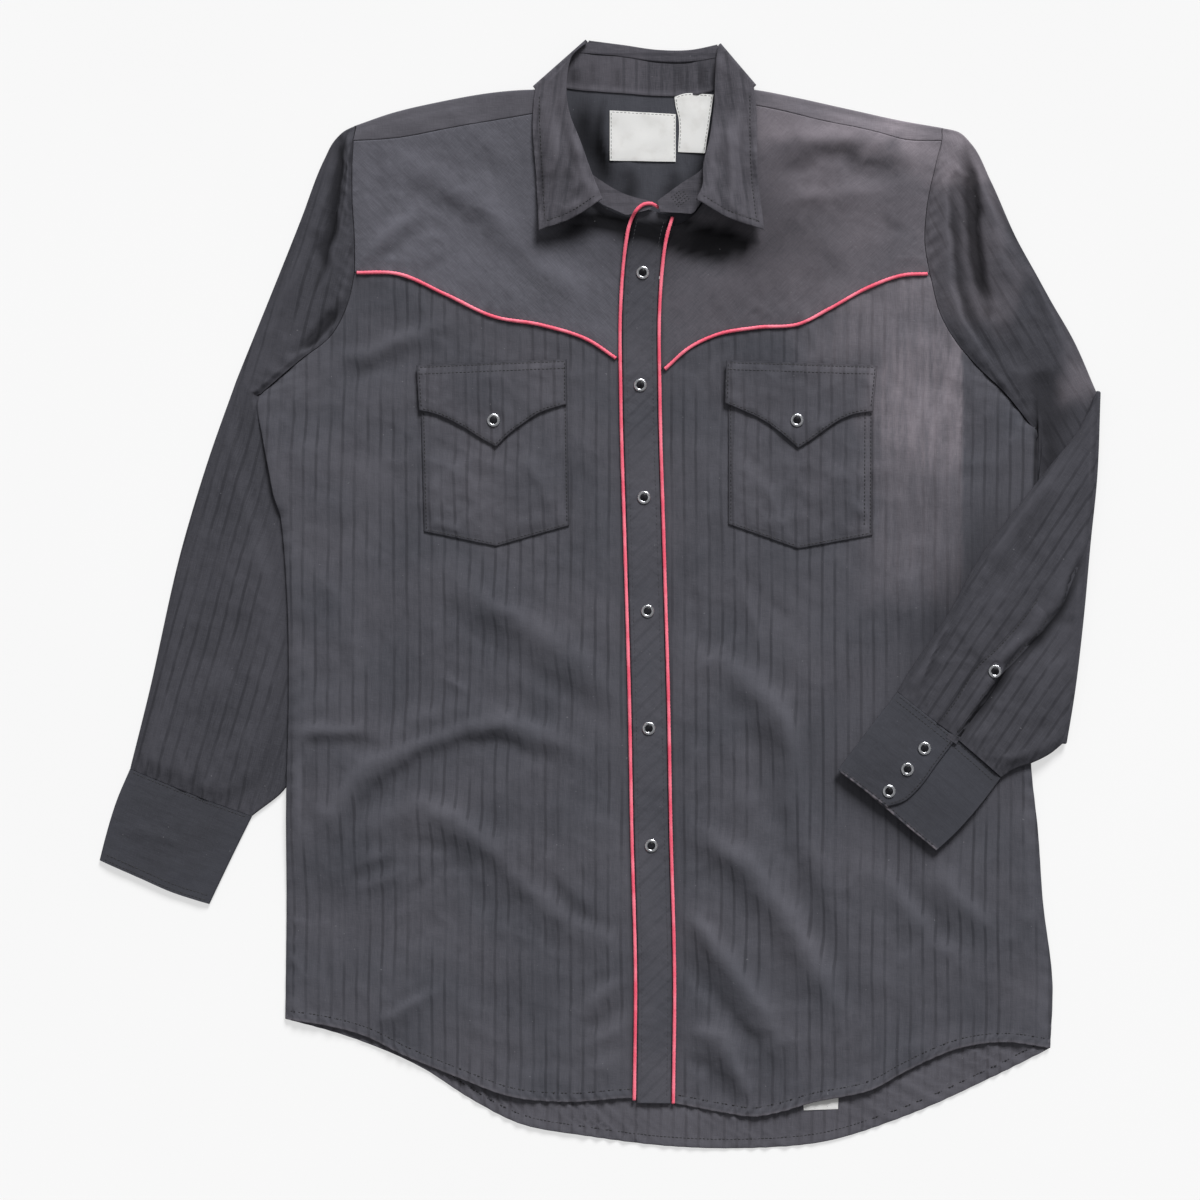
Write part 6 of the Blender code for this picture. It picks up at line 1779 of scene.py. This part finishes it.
def make_stitches():
    """The sewing that shows: beside edges, and along hems and seams."""
    stitches("collar_leaf", [
        sewn(FREE_L, LEAF_STITCH, (8, LEAF_STITCH)), sewn(LEAF_END_L, -LEAF_STITCH, (3, LEAF_STITCH)),
        sewn(FREE_R, -LEAF_STITCH, (8, LEAF_STITCH)), sewn(LEAF_END_R, LEAF_STITCH, (3, LEAF_STITCH))])
    tack = [np.array([(57 + 1.4 * k, 323 - 1.9 * k), (68 + 1.4 * k, 331 - 1.9 * k)]) for k in range(5)]
    stitches("collar_stand", tack + [sewn(STAND_IN_R[4:], -1.8), sewn(STAND_IN_L[5:], 1.8)],
             spacing=2.6, long=1.6)
    middle = smooth(PLACKET_MID, BAND_ROWS)
    beside = PLACKET_HALF - PLACKET_STITCH
    stitches("placket", [shift(middle, side)[2:-2] for side in (beside, -beside)], THREAD_FAINT, wide=0.6)
    for name, shape in (("pocket_left", POCKET_L), ("flap_left", FLAP_L),
                        ("pocket_right", POCKET_R), ("flap_right", FLAP_R)):
        lines = [sewn(shape["left"], 2.0), sewn(shape["right"], -2.0),
                 sewn(shape["bottom left"], 2.0, (2, 1)), sewn(shape["bottom right"], 2.0, (1, 2))]
        if name.startswith("flap"):
            lines += [sewn(shape["top"], -2.0), sewn(shape["top"], -7.5)]
        if name == "pocket_right":
            lines.append(sewn(shape["right"], -7.0, (2, 8)))
        stitches(name, lines)
    for name, rows in SEWING.items():
        stitches(name, [sewn(*row) for row in rows])
    for name, shape in (("label_main", LABEL_MAIN), ("label_care", LABEL_CARE)):
        edges = ("top", -1.2), ("left", 1.2), ("right", -1.2)
        stitches(name, [sewn(shape[edge], inset, (1, 1)) for edge, inset in edges], wide=0.5)


def graph(name):
    """A new material, ways to add its nodes and to connect them to its shader, and a piece's own place."""
    made = bpy.data.materials.new(name)
    made.use_nodes = True
    tree = made.node_tree

    def add(kind, inputs=(), **settings):
        node = tree.nodes.new("ShaderNode" + kind)
        for key, value in settings.items():
            setattr(node, key, value)
        for place, value in (inputs.items() if isinstance(inputs, dict) else enumerate(inputs)):
            if isinstance(value, bpy.types.NodeSocket):
                tree.links.new(value, node.inputs[place])
            elif value is not None:
                node.inputs[place].default_value = value
        return node.outputs
    shader = tree.nodes["Principled BSDF"]

    def connect(output, socket):
        tree.links.new(output, shader.inputs[socket])
    return made, add, shader, connect, add("TexCoord")["Object"]


def calc(add, operation, *values):
    """A Math node's result."""
    return add("Math", values, operation=operation)[0]


def times(add, first, second):
    """Two values multiplied."""
    return calc(add, "MULTIPLY", first, second)


def blend(add, share, first, second):
    """Two colours mixed by a share."""
    return add("Mix", {0: share, 6: first, 7: second}, data_type="RGBA")[2]


def between(add, value, low, high, to_low=0.0, to_high=1.0):
    """A value eased from one range to another."""
    values = {0: value, 1: low, 2: high, 3: to_low, 4: to_high}
    return add("MapRange", values, interpolation_type="SMOOTHSTEP")[0]


def grain(add, place, scale, detail=2.0, rough=0.5):
    """Noise at a number of features a metre, or a millimetre where the place is in millimetres."""
    return add("TexNoise", {"Vector": place, "Scale": scale, "Detail": detail, "Roughness": rough})["Fac"]


def stretched(add, place, *factors):
    """A place scaled differently each way."""
    return add("VectorMath", {0: place, 1: factors}, operation="MULTIPLY")[0]


def scaled(colour, share):
    """A colour made darker or paler."""
    return tuple(share * c for c in colour[:3]) + (1.0,)


def fixed(shader, **values):
    """Sets a shader's own sockets, each named with _ for a space."""
    for socket, value in values.items():
        shader.inputs[socket.replace("_", " ")].default_value = value


def cloth(name, deep, pale, stripe=0.74, threaded=0.3):
    """Charcoal cotton with tonal satin stripes, bleached in places, with painted highlight on crests and
    painted shade in hollows.
    """
    made, add, shader, connect, place = graph(name)
    weave = add("Attribute", attribute_name="weave")["Vector"]
    across, length = add("SeparateXYZ", [weave])[:2]
    fading, crest, painted_shade = add("SeparateXYZ", [add("Attribute", attribute_name="wear_and_painted_light")["Vector"]])[:3]
    flat = add("CombineXYZ", [across, length, 0.0])[0]

    broad = grain(add, place, 9.0, 3.0)
    colour = blend(add, between(add, broad, 0.3, 0.7), deep, pale)
    # Threads: long thin streaks both ways
    warp = grain(add, stretched(add, flat, 1.6, 0.1, 1.0), 1.0, 2.0)
    weft = grain(add, stretched(add, flat, 0.12, 1.9, 1.0), 1.0, 2.0)
    threads = calc(add, "ADD", times(add, warp, 0.55), times(add, weft, 0.45))
    colour = blend(add, between(add, threads, 0.36, 0.66, 0.0, threaded), colour, scaled(pale, THREAD_PALE))
    # Wide soft streaks along the stripes
    streak = grain(add, stretched(add, flat, 0.3, 0.012, 1.0), 1.0, 1.0)
    streaked = between(add, streak, 0.35, 0.68, 0.0, STREAK_SHARE * stripe)
    colour = blend(add, streaked, colour, scaled(pale, STREAK_PALE))
    # Crests paler: painted highlight, partly rubbed cloth
    colour = blend(add, times(add, crest, CREST_SHARE), colour, scaled(pale, CREST_PALE))
    # Satin stripes that come and go
    sway = times(add, grain(add, stretched(add, flat, 0.01, 0.008, 1.0), 1.0, 1.0), 2.2)
    near = calc(add, "PINGPONG", calc(add, "ADD", across, sway), STRIPE_EVERY / 2)
    line = between(add, near, 0.6, 1.75, 1.0, 0.0)
    seen = between(add, grain(add, stretched(add, flat, 0.03, 0.013, 1.0), 1.0, 3.0), 0.36, 0.6, 0.2, 1.0)
    # The stripes fade on the crests: painted sheen
    seen = times(add, seen, between(add, crest, 0.15, 0.8, 1.0, 0.2))
    satin = times(add, times(add, line, seen), stripe)
    colour = blend(add, satin, colour, scaled(deep, SATIN_DARK))
    # Sun
    bleach = times(add, fading, between(add, threads, 0.3, 0.7, 0.7, 1.0))
    colour = blend(add, bleach, colour, BLEACHED)
    # Painted shade in the hollows, and under and beside what lies on the cloth
    colour = blend(add, times(add, painted_shade, PAINTED_SHADE_SHARE), colour, scaled(deep, PAINTED_SHADE_DARK))
    # Lint
    speck = grain(add, place, 480.0, 0.0)
    fluff = between(add, speck, 0.868, 0.895, 0.0, LINT_SHARE)
    colour = blend(add, fluff, colour, LINT)
    connect(colour, "Base Color")
    rough = between(add, threads, 0.3, 0.7, 0.82, 0.7)
    connect(calc(add, "SUBTRACT", rough, times(add, satin, 0.2)), "Roughness")
    fixed(shader, Sheen_Weight=0.02, Sheen_Roughness=0.45, Sheen_Tint=SHEEN, Specular_IOR_Level=0.03)
    fine = times(add, threads, 0.30)
    small = times(add, grain(add, place, 210.0, 3.0, 0.6), 0.9)
    height = calc(add, "ADD", calc(add, "ADD", fine, small), times(add, satin, -0.12))
    bump = add("Bump", {"Strength": 0.55, "Distance": 0.0006, "Height": height})["Normal"]
    connect(bump, "Normal")
    return made


def piping_cloth(name):
    """Pink bias tape over a cord."""
    made, add, shader, connect, place = graph(name)
    patchy = grain(add, place, 55.0, 3.0)
    colour = blend(add, between(add, patchy, 0.35, 0.68), PINK_DEEP, PINK_PALE)
    fine = grain(add, place, 1400.0, 2.0)
    colour = blend(add, between(add, fine, 0.3, 0.75, 0.0, 0.18), colour, PINK_FUZZ)
    connect(colour, "Base Color")
    fixed(shader, Roughness=0.62, Sheen_Weight=0.2)
    bump = add("Bump", {"Strength": 0.4, "Distance": 0.0004, "Height": fine})["Normal"]
    connect(bump, "Normal")
    return made


def label_cloth(name):
    """A blank woven label."""
    made, add, shader, connect, place = graph(name)
    rows = add("TexWave", {"Vector": place, "Scale": 420.0, "Distortion": 1.0}, bands_direction="Y")["Fac"]
    colour = blend(add, between(add, rows, 0.0, 1.0, 0.0, 0.25), LABEL_WHITE, LABEL_GREY)
    patchy = grain(add, place, 90.0, 3.0)
    colour = blend(add, between(add, patchy, 0.45, 0.8, 0.0, 0.35), colour, LABEL_SOILED)
    connect(colour, "Base Color")
    fixed(shader, Roughness=0.55, Sheen_Weight=0.15)
    bump = add("Bump", {"Strength": 0.3, "Distance": 0.0002, "Height": rows})["Normal"]
    connect(bump, "Normal")
    return made


def chrome(name):
    """Bright metal with small scratches."""
    made, add, shader, connect, place = graph(name)
    scratches = grain(add, place, 900.0, 3.0)
    connect(blend(add, scratches, CHROME_DEEP, CHROME_PALE), "Base Color")
    connect(between(add, scratches, 0.3, 0.7, 0.16, 0.36), "Roughness")
    fixed(shader, Metallic=1.0)
    return made


def pearl(name):
    """Black mother-of-pearl under a clear cap."""
    made, add, shader, connect, place = graph(name)
    layers = grain(add, place, 260.0, 4.0, 0.7)
    connect(blend(add, between(add, layers, 0.35, 0.75), PEARL_DEEP, PEARL_PALE), "Base Color")
    fixed(shader, Roughness=0.45, Specular_IOR_Level=0.12, Coat_Weight=0.05, Coat_Roughness=0.1)
    return made


def thread(name, colour):
    """Sewing thread."""
    made, add, shader, connect, place = graph(name)
    twist = grain(add, place, 1500.0, 1.0)
    connect(blend(add, between(add, twist, 0.3, 0.7), scaled(colour, 0.6), colour), "Base Color")
    fixed(shader, Roughness=0.6)
    return made


def make_stage():
    """Pale floor, soft light from above the collar and a little to the right, and the camera."""
    made, add, shader, connect, place = graph("floor")
    shade = grain(add, place, 3.0, 2.0)
    connect(blend(add, shade, FLOOR_DEEP, FLOOR_PALE), "Base Color")
    fixed(shader, Emission_Color=WHITE, Emission_Strength=FLOOR_GLOW, Roughness=0.9, Specular_IOR_Level=0.0)
    size = 3.0
    data = bpy.data.meshes.new("floor")
    data.from_pydata([(-size, -size, FLOOR_Z), (size, -size, FLOOR_Z), (size, size, FLOOR_Z),
                      (-size, size, FLOOR_Z)], [], [(0, 1, 2, 3)])
    data.materials.append(made)
    floor = bpy.data.objects.new("floor", data)
    bpy.context.collection.objects.link(floor)

    world = bpy.data.worlds.new("studio")
    world.use_nodes = True
    fixed(world.node_tree.nodes["Background"], Color=WHITE, Strength=FILL)
    bpy.context.scene.world = world
    for name, way, strength, spread in (("key", KEY_FROM, KEY, 22), ("second", SECOND_FROM, SECOND, 40)):
        light = bpy.data.lights.new(name, "SUN")
        light.energy = strength
        light.angle = math.radians(spread)
        lamp = bpy.data.objects.new(name, light)
        lamp.rotation_euler = Vector(way).to_track_quat("Z", "Y").to_euler()
        bpy.context.collection.objects.link(lamp)

    lens = bpy.data.cameras.new("camera")
    lens.lens = 85.0
    lens.sensor_width = 36.0
    lens.clip_end = 20.0
    view = bpy.data.objects.new("camera", lens)
    view.location = (0.0, FRAME_MIDDLE_Y * MM, FRAME_WIDTH * MM * lens.lens / lens.sensor_width)
    bpy.context.collection.objects.link(view)
    bpy.context.scene.camera = view
    bpy.context.scene.view_settings.view_transform = "Standard"


def declare():
    """Goes through the cut sheets and works out the area that each one's mesh covers, which is not kept."""
    for name, (width, length, held_on) in CUTS.items():
        item = PIECES[name]
        mesh = bmesh.new()
        mesh.from_mesh(item.data)
        area = sum(face.calc_area() for face in mesh.faces) / 2
        mesh.free()


PIECES = {}
make_stage()
CLOTH = cloth("cloth", CHARCOAL, CHARCOAL_PALE)
CUFF_CLOTH = cloth("cuff_cloth", CUFF_DEEP, CHARCOAL, stripe=0.12)
SLEEVE_CLOTH = cloth("sleeve_cloth", SLEEVE_DEEP, SLEEVE_PALE, stripe=0.6, threaded=0.5)
COLLAR_CLOTH = cloth("collar_cloth", COLLAR_DEEP, COLLAR_PALE, stripe=0.4, threaded=0.4)
YOKE_CLOTH = {"left": cloth("yoke_cloth", YOKE_DEEP, YOKE_PALE, stripe=0.16, threaded=0.5),
              "right": cloth("yoke_cloth_worn", YOKE_DEEP, YOKE_WORN, stripe=0.14, threaded=0.5)}
BAND_CLOTH = cloth("band_cloth", CHARCOAL, CHARCOAL_PALE, stripe=0.3)
INNER_CLOTH = cloth("inner_cloth", CHARCOAL, CHARCOAL_PALE, stripe=0.08)
PIPING = piping_cloth("piping")
LABEL = label_cloth("label")
CHROME = chrome("chrome")
PEARL = pearl("pearl")
THREAD = thread("thread", THREAD_DARK)
THREAD_FAINT = thread("thread_faint", THREAD_GREY)
make_body()
make_back_yoke()
slit, slit_height = make_sleeves()
make_cuffs()
make_leaf()
make_stand()
make_placket()
make_pockets()
make_labels()
make_sleeve_placket(slit, slit_height)
make_snaps()
make_stitches()
declare()
